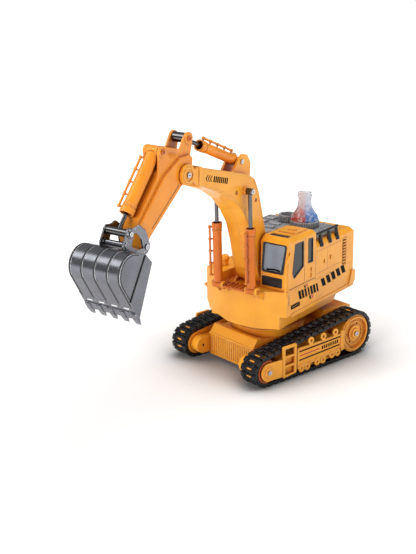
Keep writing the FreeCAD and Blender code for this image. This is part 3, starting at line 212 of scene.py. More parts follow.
def chimney_clear():
    """Clear plastic lit red on the far side's half and blue on the cab side's, fading to clear upwards."""
    clear = (0.97, 0.97, 0.98, 1.0)
    red_to_blue = ACROSS * 0.814 + ALONG * 0.581
    middle = house(13.5, 47.7, 138.0).dot(red_to_blue)
    soft = 1.6 * MM                               # half width of the change from red to blue
    fade_from, fade_to = 140.5 * MM, 157.0 * MM   # heights between which the painted LED light fades
    n = Nodes("Chimney_Clear")
    normal, rim = n.soft_edges(0.0005)
    split = n.node("ShaderNodeVectorMath", operation="DOT_PRODUCT")
    n.link(n.place, split.inputs[0])
    split.inputs[1].default_value = red_to_blue
    side = n.span(split.outputs["Value"], middle - soft, middle + soft)
    rise = n.node("ShaderNodeSeparateXYZ")
    n.link(n.place, rise.inputs[0])
    fade = n.span(rise.outputs["Z"], fade_from, fade_to, 0.0, 0.86)
    # painted light: red and blue stand for the light of the LEDs beneath the clear plastic, and white patches are
    # a painted highlight for glints
    painted_led_light = n.mix(side, srgb(238, 100, 82), srgb(74, 150, 234))
    painted_glints = n.mix(n.span(n.noise(240, 4), 0.52, 0.62, 0.0, 0.85), painted_led_light, srgb(244, 244, 248))
    shade = n.mix(fade, painted_glints, clear)
    # edges lightened towards clear white: a painted highlight
    n.link(n.mix(rim, shade, clear), n.shader.inputs["Base Color"])
    n.link(n.span(n.noise(160, 3), *MIDDLE, 0.05, 0.16), n.shader.inputs["Roughness"])
    n.set(Transmission_Weight=0.6, IOR=1.4)
    n.bump(n.noise(300, 3), 0.0003, normal)
    return n.mat


# ---------------------------------------------------------------- materials
# One per material slot of the record: colour; colour of its mottle and of the painted shade in its recesses;
# colour of its rubbed edges, partly wear and partly a painted highlight.
finish = {
    "orange_plastic": moulded(
        "Orange_Moulded_Plastic", srgb(250, 171, 42), srgb(176, 66, 12), srgb(255, 214, 140),
        rough=(0.28, 0.4), coat=0.12, edge=0.0008, specular=0.35),
    "track_rubber": moulded(
        "Track_Rubber", srgb(15, 14, 16), srgb(3, 3, 4), srgb(104, 104, 110),
        rough=(0.18, 0.32), specular=0.35, recess=0.004),
    "steel": moulded(
        "Bright_Steel", srgb(190, 192, 196), srgb(70, 70, 74), srgb(235, 235, 238),
        rough=(0.16, 0.3), metallic=1.0, grain=0.000006, streak=(1, 1, 14)),
    "silver_plastic": moulded(
        "Silver_Painted_Plastic", srgb(118, 119, 126), srgb(22, 22, 25), srgb(238, 240, 244),
        rough=(0.2, 0.3), metallic=0.85, grain=0.00001),
    "grey_plastic": moulded(
        "Grey_Plastic", srgb(178, 178, 181), srgb(34, 34, 36), srgb(250, 250, 252),
        rough=(0.22, 0.36), metallic=0.25, recess=0.005, edge=0.0008),
    "black_plastic": moulded(
        "Black_Plastic", srgb(14, 14, 16), srgb(4, 4, 5), srgb(84, 84, 88), rough=(0.22, 0.4), grain=0.00001),
    "dark_pane": moulded(
        "Dark_Pane", srgb(46, 49, 51), srgb(20, 22, 24), srgb(96, 104, 110),
        rough=(0.16, 0.26), grain=0.000002, specular=0.3),
    "grey_pane": moulded(
        "Grey_Pane", srgb(134, 147, 160), srgb(70, 80, 92), srgb(200, 210, 220),
        rough=(0.1, 0.2), grain=0.000002, recess=0.009),
    "circuit_green": moulded("Circuit_Green", srgb(28, 92, 52), srgb(10, 40, 22), srgb(90, 150, 100)),
    "battery_wrap": moulded("Battery_Wrap", srgb(44, 70, 120), srgb(20, 30, 60), srgb(120, 140, 180)),
    "motor_casing": moulded(
        "Motor_Casing", srgb(170, 170, 172), srgb(80, 80, 84), srgb(220, 220, 222), metallic=0.9),
    "tank_plastic": moulded("Tank_Plastic", srgb(214, 214, 208), srgb(150, 150, 144), srgb(240, 240, 236)),
    "clear_plastic": chimney_clear(),
    "red_clear": tinted("Red_Clear", srgb(236, 96, 82), srgb(214, 60, 50)),
    "blue_clear": tinted("Blue_Clear", srgb(70, 140, 224), srgb(30, 92, 190)),
}

rod_steel = moulded(
    "Rod_Steel", srgb(104, 102, 102), srgb(22, 22, 24), srgb(240, 240, 242),
    rough=(0.12, 0.2), metallic=1.0, grain=0.000004, recess=0.004)
# idler wheels: the orange plastic made darker and redder as painted shade, for where they sit inside the belt
shaded_drum_orange = moulded("Shaded_Drum_Orange", srgb(186, 78, 14), srgb(96, 20, 8), srgb(240, 150, 70), coat=0.1)
# boom barrels: the orange plastic made deeper and redder as painted shade
shaded_barrel_orange = moulded(
    "Shaded_Barrel_Orange", srgb(222, 116, 8), srgb(140, 42, 8), srgb(255, 200, 110),
    coat=0.15, edge=0.0008, specular=0.35)
# stick, its barrel and the bucket barrel: the same orange plastic, darker and redder as painted shade
shaded_stick_orange = moulded(
    "Shaded_Stick_Orange", srgb(242, 150, 34), srgb(158, 54, 10), srgb(255, 208, 130),
    coat=0.12, edge=0.0009, specular=0.35)
# bucket bracket: the silver plastic with near-black painted shade in its recesses and a bright painted highlight
# on its edges
bracket_silver_shaded = moulded(
    "Bracket_Silver_Shaded", srgb(128, 129, 135), srgb(8, 8, 9), srgb(252, 252, 254),
    rough=(0.12, 0.2), metallic=0.9, grain=0.00001, recess=0.02, edge=0.0009)
pin_orange = moulded(
    "Pin_Orange", srgb(212, 108, 22), srgb(120, 36, 12), srgb(252, 190, 110), coat=0.1, recess=0.004)

# thin films that lie on other surfaces: print, seams, and painted shade and highlight
FLUSH = 0.001                                     # reach of the recess shading where there is no depth
INK = moulded(
    "Black_Print", srgb(10, 9, 10), srgb(4, 4, 4), srgb(24, 22, 22),
    rough=(0.45, 0.6), grain=0.000004, recess=FLUSH, specular=0.05)
RED_INK = moulded(
    "Red_Print", srgb(206, 52, 36), srgb(150, 30, 20), srgb(230, 120, 90),
    rough=(0.3, 0.45), grain=0.000004, recess=FLUSH)
WHITE_INK = moulded(
    "White_Print", srgb(232, 232, 232), srgb(190, 190, 190), srgb(250, 250, 250),
    rough=(0.3, 0.45), grain=0.000004, recess=FLUSH)
SEAM = moulded("Seam_Shade", srgb(172, 96, 28), srgb(110, 52, 10), srgb(210, 130, 60), recess=FLUSH)
# painted shade in the hollows of screw and pin heads
DIMPLE_SHADE = moulded("Deep_Red_Shade", srgb(128, 38, 14), srgb(70, 16, 6), srgb(190, 90, 40), recess=FLUSH)
# painted shade in the bucket's grooves and along its cheek and cutter lines
GROOVE_SHADE = moulded(
    "Groove_Shade", srgb(30, 30, 32), srgb(12, 12, 13), srgb(50, 50, 52), rough=(0.5, 0.65), recess=FLUSH)
# painted highlight: pale strips beside the bucket's grooves
SHINE = moulded(
    "Painted_Edge_Highlight", srgb(208, 210, 214), srgb(120, 120, 126), srgb(250, 250, 252), metallic=0.4, recess=FLUSH)


def dress_nodes():
    """Gives every CAD node its slot's material, or its own: pins and rods their own colour, and some parts a copy
    of their slot's material with painted shade, the bucket's bracket with painted highlight too.
    """
    special = {}
    for material, names in (
        (rod_steel, ("boom_rods", "stick_rod", "bucket_rod")),
        (pin_orange, ("stick_pins", "barrel_foot_pins")),
        (shaded_drum_orange, ("idler_wheel_left", "idler_wheel_right")),
        (shaded_barrel_orange, ("boom_barrels",)),
        (shaded_stick_orange, ("stick_shell_left", "stick_shell_right", "stick_barrel", "bucket_barrel")),
        (bracket_silver_shaded, ("bucket_bracket",)),
    ):
        special.update(dict.fromkeys(names, material))
    slot_of = {part["node"]: part["material_slot"] for part in frame["record"]["subparts"]}
    for name, obj in nodes.items():
        obj.data.materials.clear()
        obj.data.materials.append(special.get(name) or finish[slot_of[name]])


dress_nodes()


# ---------------------------------------------------------------- mesh helpers
STRAIGHT = 1.55                                   # half angle, in radians, past which a corner is no corner
SHARPEST = 0.35                                   # keeps an inset corner from running far away


def rounded(points, radius, steps=5, share=0.49):
    """A closed 2-D outline with its corners rounded, each within a share of its edges.

    radius is one number for all corners, or a list with one for each.
    """
    count = len(points)
    radii = radius if isinstance(radius, (list, tuple)) else [radius] * count
    out = []
    for i, (x, y) in enumerate(points):
        corner = Vector((x, y))
        back = Vector(points[i - 1]) - corner
        ahead = Vector(points[(i + 1) % count]) - corner
        half = back.angle(ahead) / 2
        if radii[i] <= 0 or half > STRAIGHT:
            out.append((x, y))
            continue
        reach = min(radii[i] / math.tan(half), back.length * share, ahead.length * share)
        size = reach * math.tan(half)
        centre = corner + (back.normalized() + ahead.normalized()).normalized() * (size / math.sin(half))
        start = corner + back.normalized() * reach - centre
        end = corner + ahead.normalized() * reach - centre
        sweep = start.angle_signed(end)
        for k in range(steps + 1):
            turn = -sweep * k / steps
            out.append((centre.x + start.x * math.cos(turn) - start.y * math.sin(turn),
                        centre.y + start.x * math.sin(turn) + start.y * math.cos(turn)))
    return out


def inset(points, depth):
    """A closed 2-D outline moved inwards by depth, each corner along its own bisector."""
    area = sum(a[0] * b[1] - b[0] * a[1] for a, b in zip(points, points[1:] + points[:1]))
    side = 1 if area > 0 else -1
    out = []
    for i, (x, y) in enumerate(points):
        before, after = Vector(points[i - 1]), Vector(points[(i + 1) % len(points)])
        here = Vector((x, y))
        a, b = (here - before).normalized(), (after - here).normalized()
        normal = Vector((-(a.y + b.y), a.x + b.x)).normalized() * side
        scale = max(SHARPEST, math.sqrt(max(0.0, (1 + a.dot(b)) / 2)))
        out.append((x + normal.x * depth / scale, y + normal.y * depth / scale))
    return out


def rectangle(a0, b0, a1, b1):
    """Corners of the rectangle from (a0, b0) to (a1, b1)."""
    return [(a0, b0), (a1, b0), (a1, b1), (a0, b1)]


def ellipse(a, b, size_a, size_b, count=20):
    """Points round an ellipse about (a, b)."""
    turns = [2 * math.pi * k / count for k in range(count)]
    return [(a + size_a * math.cos(t), b + size_b * math.sin(t)) for t in turns]


def on_side(place, x, swap=1):
    """Puts a 2-D point (y, z) in the plane at x, with height measured outwards along x."""
    return lambda a, b, h=0.0: place(x + swap * h, a, b)


def on_front(place, y, swap=1):
    """Puts a 2-D point (x, z) in the plane at y, with height forwards, or rearwards if swap is -1."""
    return lambda a, b, h=0.0: place(a, y - swap * h, b)


def on_top(place, z):
    """Puts a 2-D point (x, y) in the plane at z, with height measured upwards."""
    return lambda a, b, h=0.0: place(a, b, z + h)


def wall(bm, low, high):
    """Faces between two closed rows of vertices."""
    for i in range(len(low)):
        j = (i + 1) % len(low)
        bm.faces.new((low[i], low[j], high[j], high[i]))


def stack(bm, put, rings):
    """Closed solid through rings of equal count, each (outline, height), with a flat face at both ends."""
    loops = [[bm.verts.new(put(a, b, h)) for a, b in outline] for outline, h in rings]
    for low, high in zip(loops, loops[1:]):
        wall(bm, low, high)
    bm.faces.new(loops[0][::-1])
    bm.faces.new(loops[-1])


def plate(bm, put, outline, low, high, chamfer):
    """Flat plate with a softened upper edge."""
    stack(bm, put, [(outline, low), (outline, high - chamfer),
                    (inset(outline, chamfer * 0.35), high - chamfer * 0.3), (inset(outline, chamfer), high)])


def ring_plate(bm, put, outer, inner, low, high):
    """Flat frame between two outlines of equal count."""
    levels = [[bm.verts.new(put(a, b, h)) for a, b in line]
              for line, h in ((outer, low), (outer, high), (inner, high), (inner, low))]
    for a, b in zip(levels, levels[1:] + levels[:1]):
        wall(bm, a, b)


def turned(bm, put, a, b, profile, count=28):
    """Turned solid about (a, b): profile is (radius, height) from bottom to top."""
    stack(bm, put, [(ellipse(a, b, r, r, count), h) for r, h in profile])


def piece(name, bm, body, material, bevel=0.0, smooth=True, replaces=()):
    """Makes the object of a finished bmesh and puts it on its body."""
    bmesh.ops.recalc_face_normals(bm, faces=bm.faces)
    mesh = bpy.data.meshes.new(name)
    bm.to_mesh(mesh)
    bm.free()
    obj = bpy.data.objects.new(name, mesh)
    bpy.context.scene.collection.objects.link(obj)
    mesh.materials.append(material)
    for face in mesh.polygons:
        face.use_smooth = smooth
    if bevel:
        mod = obj.modifiers.new("Edge", "BEVEL")
        mod.width = bevel * MM
        mod.segments = 2
        mod.limit_method = "ANGLE"
        mod.angle_limit = math.radians(40)
    if smooth:
        mesh.set_sharp_from_angle(angle=math.radians(38))
    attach(obj, body)
    if replaces:
        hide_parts(*replaces)


# ---------------------------------------------------------------- tracks
# Wheel centres are (y, z) in mm, and their height is their radius to the belt's soles, which rest on the
# ground. A belt's depth is counted inwards from its soles.
IDLER = Vector((-61.5, 16.3))
DRIVE = Vector((65.0, 24.4))
IDLER_R = IDLER.y
DRIVE_R = DRIVE.y
BELT_IN, BELT_OUT = 42.5, 65.0                    # x of the belt's edges
SLOT_IN, SLOT_OUT = 50.2, 57.3                    # x of the slots along its middle
INSIDE = 4.0                                      # depth of the belt's inner face
SHOES = 44
WHEEL_GAP = (DRIVE - IDLER).length
SPREAD = math.asin((DRIVE_R - IDLER_R) / WHEEL_GAP)
TILT = math.atan2(DRIVE.y - IDLER.y, DRIVE.x - IDLER.x) + SPREAD
TOP_RUN = WHEEL_GAP * math.cos(SPREAD)
FLOOR_RUN = DRIVE.x - IDLER.x
REAR_ARC = DRIVE_R * (math.pi + TILT)
FRONT_ARC = IDLER_R * (math.pi - TILT)
BELT_LENGTH = FLOOR_RUN + REAR_ARC + TOP_RUN + FRONT_ARC
PITCH = BELT_LENGTH / SHOES


def belt_point(distance, depth):
    """(y, z) at a distance along the belt and a depth below the soles."""
    distance %= BELT_LENGTH
    if distance < FLOOR_RUN:
        return IDLER.x + distance, depth
    distance -= FLOOR_RUN
    if distance < REAR_ARC:
        angle = -math.pi / 2 + distance / DRIVE_R
        return DRIVE.x + math.cos(angle) * (DRIVE_R - depth), DRIVE.y + math.sin(angle) * (DRIVE_R - depth)
    distance -= REAR_ARC
    if distance < TOP_RUN:
        return (DRIVE.x - math.sin(TILT) * (DRIVE_R - depth) - math.cos(TILT) * distance,
                DRIVE.y + math.cos(TILT) * (DRIVE_R - depth) - math.sin(TILT) * distance)
    angle = math.pi / 2 + TILT + (distance - TOP_RUN) / IDLER_R
    return IDLER.x + math.cos(angle) * (IDLER_R - depth), IDLER.y + math.sin(angle) * (IDLER_R - depth)


def belt_block(bm, side, across, along, depths, taper=0.0):
    """Block on the belt over a range of x and a range of distance, from one depth up to a shallower one."""
    (x0, x1), (t0, t1) = across, along
    verts = []
    for depth, shrink in zip(depths, (0.0, taper)):
        for x, t in rectangle(x0 + shrink, t0 + shrink, x1 - shrink, t1 - shrink):
            y, z = belt_point(t, depth)
            verts.append(bm.verts.new(chassis(side * x, y, z)))
    for face in ((3, 2, 1, 0), (4, 5, 6, 7), (0, 1, 5, 4), (1, 2, 6, 5), (2, 3, 7, 6), (3, 0, 4, 7)):
        bm.faces.new([verts[k] for k in face])


def belt_strip(bm, side, across, depths, count=4 * SHOES):
    """Endless band over a range of x, between two depths."""
    (x0, x1), (low, high) = across, depths
    rings = []
    for k in range(count):
        ring = []
        for x, depth in ((x0, low), (x1, low), (x1, high), (x0, high)):
            y, z = belt_point(BELT_LENGTH * k / count, depth)
            ring.append(bm.verts.new(chassis(side * x, y, z)))
        rings.append(ring)
    for a, b in zip(rings, rings[1:] + rings[:1]):
        wall(bm, a, b)


def track_belt(side, label, node):
    """Rubber belt: bands, and shoes with edge pads, two grousers and a framed slot through the middle."""
    bm = bmesh.new()
    lap = 0.4                                     # how far one part of the belt ends inside another
    band, crossbar = (INSIDE, 2.3), (INSIDE, 2.2)
    shoe, grouser, frame_lip, pad = (2.6, 1.0), (1.3, 0.25), (1.4, 0.45), (2.8, 0.0)
    half_slot, half_shoe = 1.25, PITCH / 2 - 0.75
    middle = (SLOT_IN - lap, SLOT_OUT + lap)
    belt_strip(bm, side, (BELT_IN + 0.3, SLOT_IN - 0.3), band)
    belt_strip(bm, side, (SLOT_OUT + 0.3, BELT_OUT - 0.3), band)
    for k in range(SHOES):
        mid = (k + 0.5) * PITCH
        whole = (mid - half_shoe, mid + half_shoe)
        belt_block(bm, side, middle, (mid + half_slot, mid + PITCH / 2), crossbar)
        belt_block(bm, side, middle, (mid - PITCH / 2, mid - half_slot), crossbar)
        belt_block(bm, side, (BELT_IN + lap, SLOT_IN), whole, shoe, 0.25)
        belt_block(bm, side, (SLOT_OUT, BELT_OUT - lap), whole, shoe, 0.25)
        for sign in (-1, 1):
            rib = sorted((mid + sign * 1.3, mid + sign * half_shoe))
            belt_block(bm, side, (SLOT_IN - 0.3, SLOT_OUT + 0.3), rib, shoe, 0.2)
            bar = sorted((mid + sign * (half_shoe - 1.5), mid + sign * half_shoe))
            belt_block(bm, side, (BELT_IN + 5.0, BELT_OUT - 5.0), bar, grouser, 0.3)
        for edge in ((BELT_IN, BELT_IN + 5.4), (BELT_OUT - 5.4, BELT_OUT)):
            belt_block(bm, side, edge, whole, pad, 0.55)
        for lip in ((SLOT_IN - 1.6, SLOT_IN - 0.5), (SLOT_OUT + 0.5, SLOT_OUT + 1.6)):
            belt_block(bm, side, lip, (mid - 2.2, mid + 2.2), frame_lip, 0.25)
    piece("Belt_" + label, bm, "undercarriage", finish["track_rubber"], bevel=0.22,
          replaces=(node,))


def belt_teeth(side, label):
    """Orange wheel teeth showing in the belt's slots where it runs round a wheel."""
    bm = bmesh.new()
    for k in range(SHOES):
        mid = (k + 0.5) * PITCH
        past_floor = mid - FLOOR_RUN
        if past_floor < -PITCH or REAR_ARC < past_floor < REAR_ARC + TOP_RUN:
            continue
        belt_block(bm, side, (SLOT_IN + 0.3, SLOT_OUT - 0.3), (mid - 1.0, mid + 1.0), (3.8, 1.1), 0.2)
    piece("Belt_Teeth_" + label, bm, "undercarriage", finish["orange_plastic"], bevel=0.15)


for (side, label), node in zip(SIDES, ("track_belt_left", "track_belt_right")):
    track_belt(side, label, node)
for side, label in SIDES:
    belt_teeth(side, label)


# ---------------------------------------------------------------- printed films and thin lines
def film(name, shapes, put, body, material, slot=None, lift=0.06, sink=0.25):
    """Thin printed shapes on a surface: each is a closed outline in the plane of put."""
    bm = bmesh.new()
    for outline in shapes:
        stack(bm, put, [(outline, -sink), (outline, lift)])
    piece(name, bm, body, material, smooth=False)


def slanted(a, b, width, height, lean):
    """Upright bar centred at (a, b), its top shifted by lean."""
    return [(a - width / 2 - lean / 2, b - height / 2), (a + width / 2 - lean / 2, b - height / 2),
            (a + width / 2 + lean / 2, b + height / 2), (a - width / 2 + lean / 2, b + height / 2)]


def line_strip(points, width):
    """Outline of a narrow open strip that follows points."""
    left, right = [], []
    for i, p in enumerate(points):
        before = Vector(points[max(i - 1, 0)])
        after = Vector(points[min(i + 1, len(points) - 1)])
        along = (after - before).normalized()
        normal = Vector((-along.y, along.x)) * (width / 2)
        left.append((p[0] + normal.x, p[1] + normal.y))
        right.append((p[0] - normal.x, p[1] - normal.y))
    return left + right[::-1]


def along_line(start, end, count):
    """Centres of equal steps between two points."""
    steps = [(k + 0.5) / count for k in range(count)]
    return [(start[0] + (end[0] - start[0]) * t, start[1] + (end[1] - start[1]) * t) for t in steps]


# planes of the upper machine's outer faces, in mm
HOUSE_X = 49.2
CAB_FRONT_Y = -40.0
TUB_FRONT_Y = -42.0
REAR_Y = 90.5
cab_side = on_side(house, HOUSE_X)
far_side = on_side(house, -HOUSE_X, -1)
cab_front = on_front(house, CAB_FRONT_Y)
rear = on_front(house, REAR_Y, -1)

# what films on the upper machine have in common
black_print = {"body": "upper_house", "material": INK, "slot": "black_plastic"}
orange_relief = {"body": "upper_house", "material": finish["orange_plastic"], "slot": "orange_plastic"}
seam_line = {"body": "upper_house", "material": SEAM, "slot": "orange_plastic", "lift": 0.04}
# painted shade of slots: dark flat strips in the seam colour
painted_slot_shade = {**seam_line, "lift": 0.05, "sink": 0.4}
SEAM_WIDTH = 0.45


def hazard_bars():
    """Five slanted bars along the hood's lower edge."""
    bars = [slanted(y, z, 7.0, 9.2, -4.8) for y, z in along_line((23.4, 80.6), (74.0, 85.0), 5)]
    film("Hazard_Bars", bars, cab_side, **black_print)


def emblem():
    """A row of bars with small black and red blocks above and below, spelling nothing."""
    widths = (4.4, 4.2, 3.6, 3.0, 4.2, 4.4, 3.2)
    centres = along_line((-20.0, 79.8), (19.0, 78.6), len(widths))
    film("Emblem_Bars", [slanted(y, z, w, 9.5, -3.2) for (y, z), w in zip(centres, widths)], cab_side,
         **black_print)
    film("Emblem_Marks", [slanted(-4.0, 86.6, 3.2, 3.0, -1.2), slanted(6.6, 72.2, 3.0, 4.2, -1.6)], cab_side,
         "upper_house", RED_INK)
    film("Emblem_Dots", [slanted(-8.0, 86.2, 3.0, 3.0, -1.2), slanted(2.6, 71.8, 3.0, 4.2, -1.6)], cab_side,
         **black_print)


def small_label():
    """A black label with a row of orange dashes."""
    dashes = [slanted(y, z, 0.8, 1.0, -0.2) for y, z in along_line((-31.6, 70.8), (-19.6, 71.2), 5)]
    film("Small_Label", [rounded(slanted(-25.6, 71.0, 16.8, 4.6, -0.6), 0.6)], cab_side, **black_print)
    film("Small_Label_Dashes", dashes, cab_side, lift=0.1, **orange_relief)


def panel_seams():
    """Door and panel seams on both sides of the house; the cab side has one more under the cab's door."""
    lines = [[(36.0, 93.8), (36.0, 116.4)], [(14.0, 117.0), (64.0, 117.2)], [(14.0, 93.2), (64.0, 93.8)]]
    door_sill = [(-38.5, 90.6), (11.5, 90.8)]
    both = [line_strip(p, SEAM_WIDTH) for p in lines]
    film("Panel_Seams", both + [line_strip(door_sill, SEAM_WIDTH)], cab_side, **seam_line)
    film("Panel_Seams_Far", both, far_side, **seam_line)


def louvre_slats():
    """Raised slats of the louvres near the rear, on both sides."""
    slats = [rectangle(66.4, 91.9 + 3.2 * k, 73.4, 93.2 + 3.2 * k) for k in range(9)]
    for put, (_, label) in zip((cab_side, far_side), SIDES):
        film("Louvre_Slats_" + label, slats, put, lift=0.75, **orange_relief)


def rear_panel():
    """Seams and raised slats of the rear louvre panel."""
    x, low, high = 30.0, 84.0, 112.0
    lines = ([(-x, low), (-x, high)], [(x, low), (x, high)], [(-x, high), (x, high)], [(-x, low), (x, low)])
    slats = [rounded(rectangle(-25.0, 88.0 + 3.6 * k, 25.0, 89.8 + 3.6 * k), 0.8) for k in range(6)]
    film("Rear_Seams", [line_strip(p, SEAM_WIDTH) for p in lines], rear, **seam_line)
    film("Rear_Slats", slats, rear, lift=0.9, **orange_relief)


def corner_slots():
    """Painted shade of the upright slots beside the tub's front corner, laid as dark flat strips."""
    low, high = 73.6, 85.6
    film("Corner_Slot_Front", [rectangle(44.6, low, 46.0, high)], on_front(house, TUB_FRONT_Y), **painted_slot_shade)
    film("Corner_Slot_Side", [rectangle(-38.6, low, -37.2, high)], cab_side, **painted_slot_shade)


BOOM_X = 14.0


def boom_marks(side, label):
    """Three chevrons and a row of plain blocks on a boom side."""
    start, end = Vector((-125.7, 215.3)), Vector((-90.6, 205.8))
    way = (end - start).normalized()

    def laid(points):
        return [(start.x + u * way.x - v * way.y, start.y + u * way.y + v * way.x) for u, v in points]

    shapes = []
    for k in range(3):
        tip = 3.4 * k - 0.2
        shapes.append(laid([(tip + 3.8, 3.0), (tip + 2.5, 3.0), (tip, 0.0),
                            (tip + 2.5, -3.0), (tip + 3.8, -3.0), (tip + 1.4, 0.0)]))
    for k in range(8):
        shapes.append(laid(rectangle(12.4 + 3.0 * k, -2.8, 14.4 + 3.0 * k, 2.8)))
    film("Boom_Marks_" + label, shapes, on_side(house, side * BOOM_X, side), "boom", INK, "black_plastic")


TRACK_PANEL_X = 66.5


def panel_marks(side, label):
    """Two black stripes on the track's side panel, with a thin red line and small blocks between them."""
    put = on_side(chassis, side * TRACK_PANEL_X, side)
    dark = [line_strip([(-19.6, 26.9), (39.4, 28.0)], 1.5), line_strip([(-19.6, 17.6), (38.8, 19.4)], 1.5)]
    dark += [slanted(y, z, 2.0, 3.8, 0.3) for y, z in along_line((12.0, 22.9), (37.0, 23.8), 8)]
    film("Panel_" + label + "_Stripes", dark, put, "undercarriage", INK, "black_plastic")
    red = [line_strip([(-19.0, 22.2), (9.0, 22.8)], 1.3)]
    film("Panel_" + label + "_Red_Line", red, put, "undercarriage", RED_INK)


hazard_bars()
emblem()
small_label()
panel_seams()
louvre_slats()
rear_panel()
corner_slots()
for side, label in SIDES:
    boom_marks(side, label)
for side, label in SIDES:
    panel_marks(side, label)


# ---------------------------------------------------------------- cab glass
def gasket(name, put, outer, inner, radius, high=0.22):
    """Raised black frame between two outlines, round a window."""
    bm = bmesh.new()
    ring_plate(bm, put, rounded(outer, radius), rounded(inner, radius), -0.8, high)
    piece(name, bm, "upper_house", finish["black_plastic"], bevel=0.15)


def cab_windows():
    """Gaskets of the four windows, and the windshield's wiper."""
    side_window = [(-27.4, 134.6), (-11.6, 134.6), (-11.2, 108.3), (-28.6, 99.8), (-32.0, 105.8)]
    rear_window = [(-2.8, 134.4), (6.2, 134.0), (6.8, 108.8), (-2.4, 109.3)]
    windshield = [(18.8, 106.4), (41.4, 106.6), (46.8, 135.8), (21.2, 135.6)]
    windshield_frame = [(17.9, 105.2), (43.6, 105.2), (48.0, 136.1), (20.0, 136.2)]
    lower_pane = rectangle(18.8, 91.6, 42.0, 101.0)
    blade = [(24.0, 108.2), (33.0, 109.4), (39.5, 108.6)]
    gasket("Side_Window_Gasket", cab_side, inset(side_window, -0.4), inset(side_window, 0.8), 1.4)
    gasket("Rear_Window_Gasket", cab_side, inset(rear_window, -0.4), inset(rear_window, 0.8), 1.2)
    gasket("Windshield_Gasket", cab_front, windshield_frame, inset(windshield, 0.8), 2.2, high=0.3)
    gasket("Lower_Pane_Gasket", cab_front, inset(lower_pane, -0.3), inset(lower_pane, 0.6), 1.0)
    film("Wiper", [line_strip(blade, 1.3)], cab_front, lift=0.2, sink=1.0, **black_print)


cab_windows()


# ---------------------------------------------------------------- boom and stick details
BOOM_SCREWS = ((-77.0, 191.6), (-44.4, 178.0), (-36.0, 112.0))
STICK_PINS = ((-144.0, 254.0), (-181.0, 248.0))
SCREW_FACE_X = BOOM_X - 0.1
STICK_PIN_FACE_X = 11.2


def boom_screws():
    """Round screw heads with a softened rim, sunk in both boom sides."""
    radius, foot, top = 1.5, -1.2, -0.1
    bm = bmesh.new()
    for side, _ in SIDES:
        for y, z in BOOM_SCREWS:
            turned(bm, on_side(house, side * BOOM_X, side), y, z,
                   [(radius, foot), (radius, top - 0.3), (radius * 0.85, top)], 18)
    piece("Boom_Screws", bm, "boom", pin_orange, bevel=0.1)


def dimples(body, x, centres, radius):
    """Painted shade: dark red dots in the middle of screw and pin heads, where their hollows lie in shade, on both
    sides.
    """
    for side, label in SIDES:
        film("Dimples_" + body + "_" + label, [ellipse(y, z, radius, radius, 16) for y, z in centres],
             on_side(house, side * x, side), body, DIMPLE_SHADE, lift=0.05, sink=0.6)


boom_screws()
dimples("boom", SCREW_FACE_X, BOOM_SCREWS, 0.75)
dimples("stick", STICK_PIN_FACE_X, STICK_PINS, 0.8)


# ---------------------------------------------------------------- bucket
BUCKET_X = 28.4
CUTTER_X = BUCKET_X + 0.7
BUCKET_SIDE = [(-223.1, 163.1), (-231.0, 172.0), (-285.7, 189.6), (-242.0, 117.4)]
BUCKET_RADII = [0, 3, 17.2, 0]


def bucket_back(depth, first, last, steps=40):
    """Points round the bucket's back at a depth below it, from one share of its length to another."""
    outline = inset(rounded(BUCKET_SIDE, BUCKET_RADII, 18, 0.95), depth)
    path = [Vector(p) for p in outline[1:]]
    lengths = [0.0]
    for a, b in zip(path, path[1:]):
        lengths.append(lengths[-1] + (b - a).length)
    out = []
    for k in range(steps + 1):
        want = lengths[-1] * (first + (last - first) * k / steps)
        i = max(j for j in range(len(path) - 1) if lengths[j] <= want + 1e-9)
        part = (want - lengths[i]) / max(lengths[i + 1] - lengths[i], 1e-9)
        out.append(path[i].lerp(path[i + 1], min(part, 1.0)))
    return out


def bucket_band(name, across, depths, reach, material):
    """Band round the bucket's back over a range of x, between two depths and two shares of its length."""
    (x0, x1), (low, high) = across, depths
    bm = bmesh.new()
    rings = []
    for a, b in zip(bucket_back(low, *reach), bucket_back(high, *reach)):
        rings.append([bm.verts.new(house(x, p.x, p.y)) for x, p in ((x0, a), (x1, a), (x1, b), (x0, b))])
    for a, b in zip(rings, rings[1:]):
        wall(bm, a, b)
    bm.faces.new(rings[0][::-1])
    bm.faces.new(rings[-1])
    piece(name, bm, "bucket", material)


def bucket_lines():
    """Painted groove shade round the back with a painted highlight strip beside each groove, dashes near the lip,
    and painted groove shade lines on both cheeks.
    """
    half_groove, half_dash, shine = 1.0, 3.0, 0.3
    for k, x in enumerate((-27.0, -14.2, 0.0, 14.2, 27.0)):
        edge = x + half_groove
        bucket_band("Bucket_Groove_" + str(k), (x - half_groove, edge), (1.0, -0.05), (0.08, 0.82),
                    GROOVE_SHADE)
        bucket_band("Bucket_Shine_" + str(k), (edge, edge + shine), (0.8, -0.08), (0.08, 0.55),
                    SHINE)
    for k, x in enumerate((-20.6, -7.1, 7.1, 20.6)):
        bucket_band("Bucket_Dash_" + str(k), (x - half_dash, x + half_dash), (0.4, -0.08), (0.865, 0.88),
                    WHITE_INK)
    cheek_line = line_strip([(p.x, p.y) for p in bucket_back(1.3, 0.10, 0.80)], 0.8)
    cutter_line = line_strip([(-231.6, 171.0), (-252.2, 135.6)], 0.7)
    for side, label in SIDES:
        cheek, cutter = on_side(house, side * BUCKET_X, side), on_side(house, side * CUTTER_X, side)
        film("Bucket_Cheek_Line_" + label, [cheek_line], cheek, "bucket", GROOVE_SHADE, "silver_plastic", lift=0.05)
        film("Bucket_Cutter_Line_" + label, [cutter_line], cutter, "bucket", GROOVE_SHADE, "silver_plastic",
             lift=0.08, sink=0.5)


bucket_lines()


# ---------------------------------------------------------------- tub, rails and deck
TUB_FLOOR_Z = 89.5
RAIL_FOOT_Z, RAIL_FOOT_HEIGHT = 121.0, 13.2
DECK_Z = 131.0


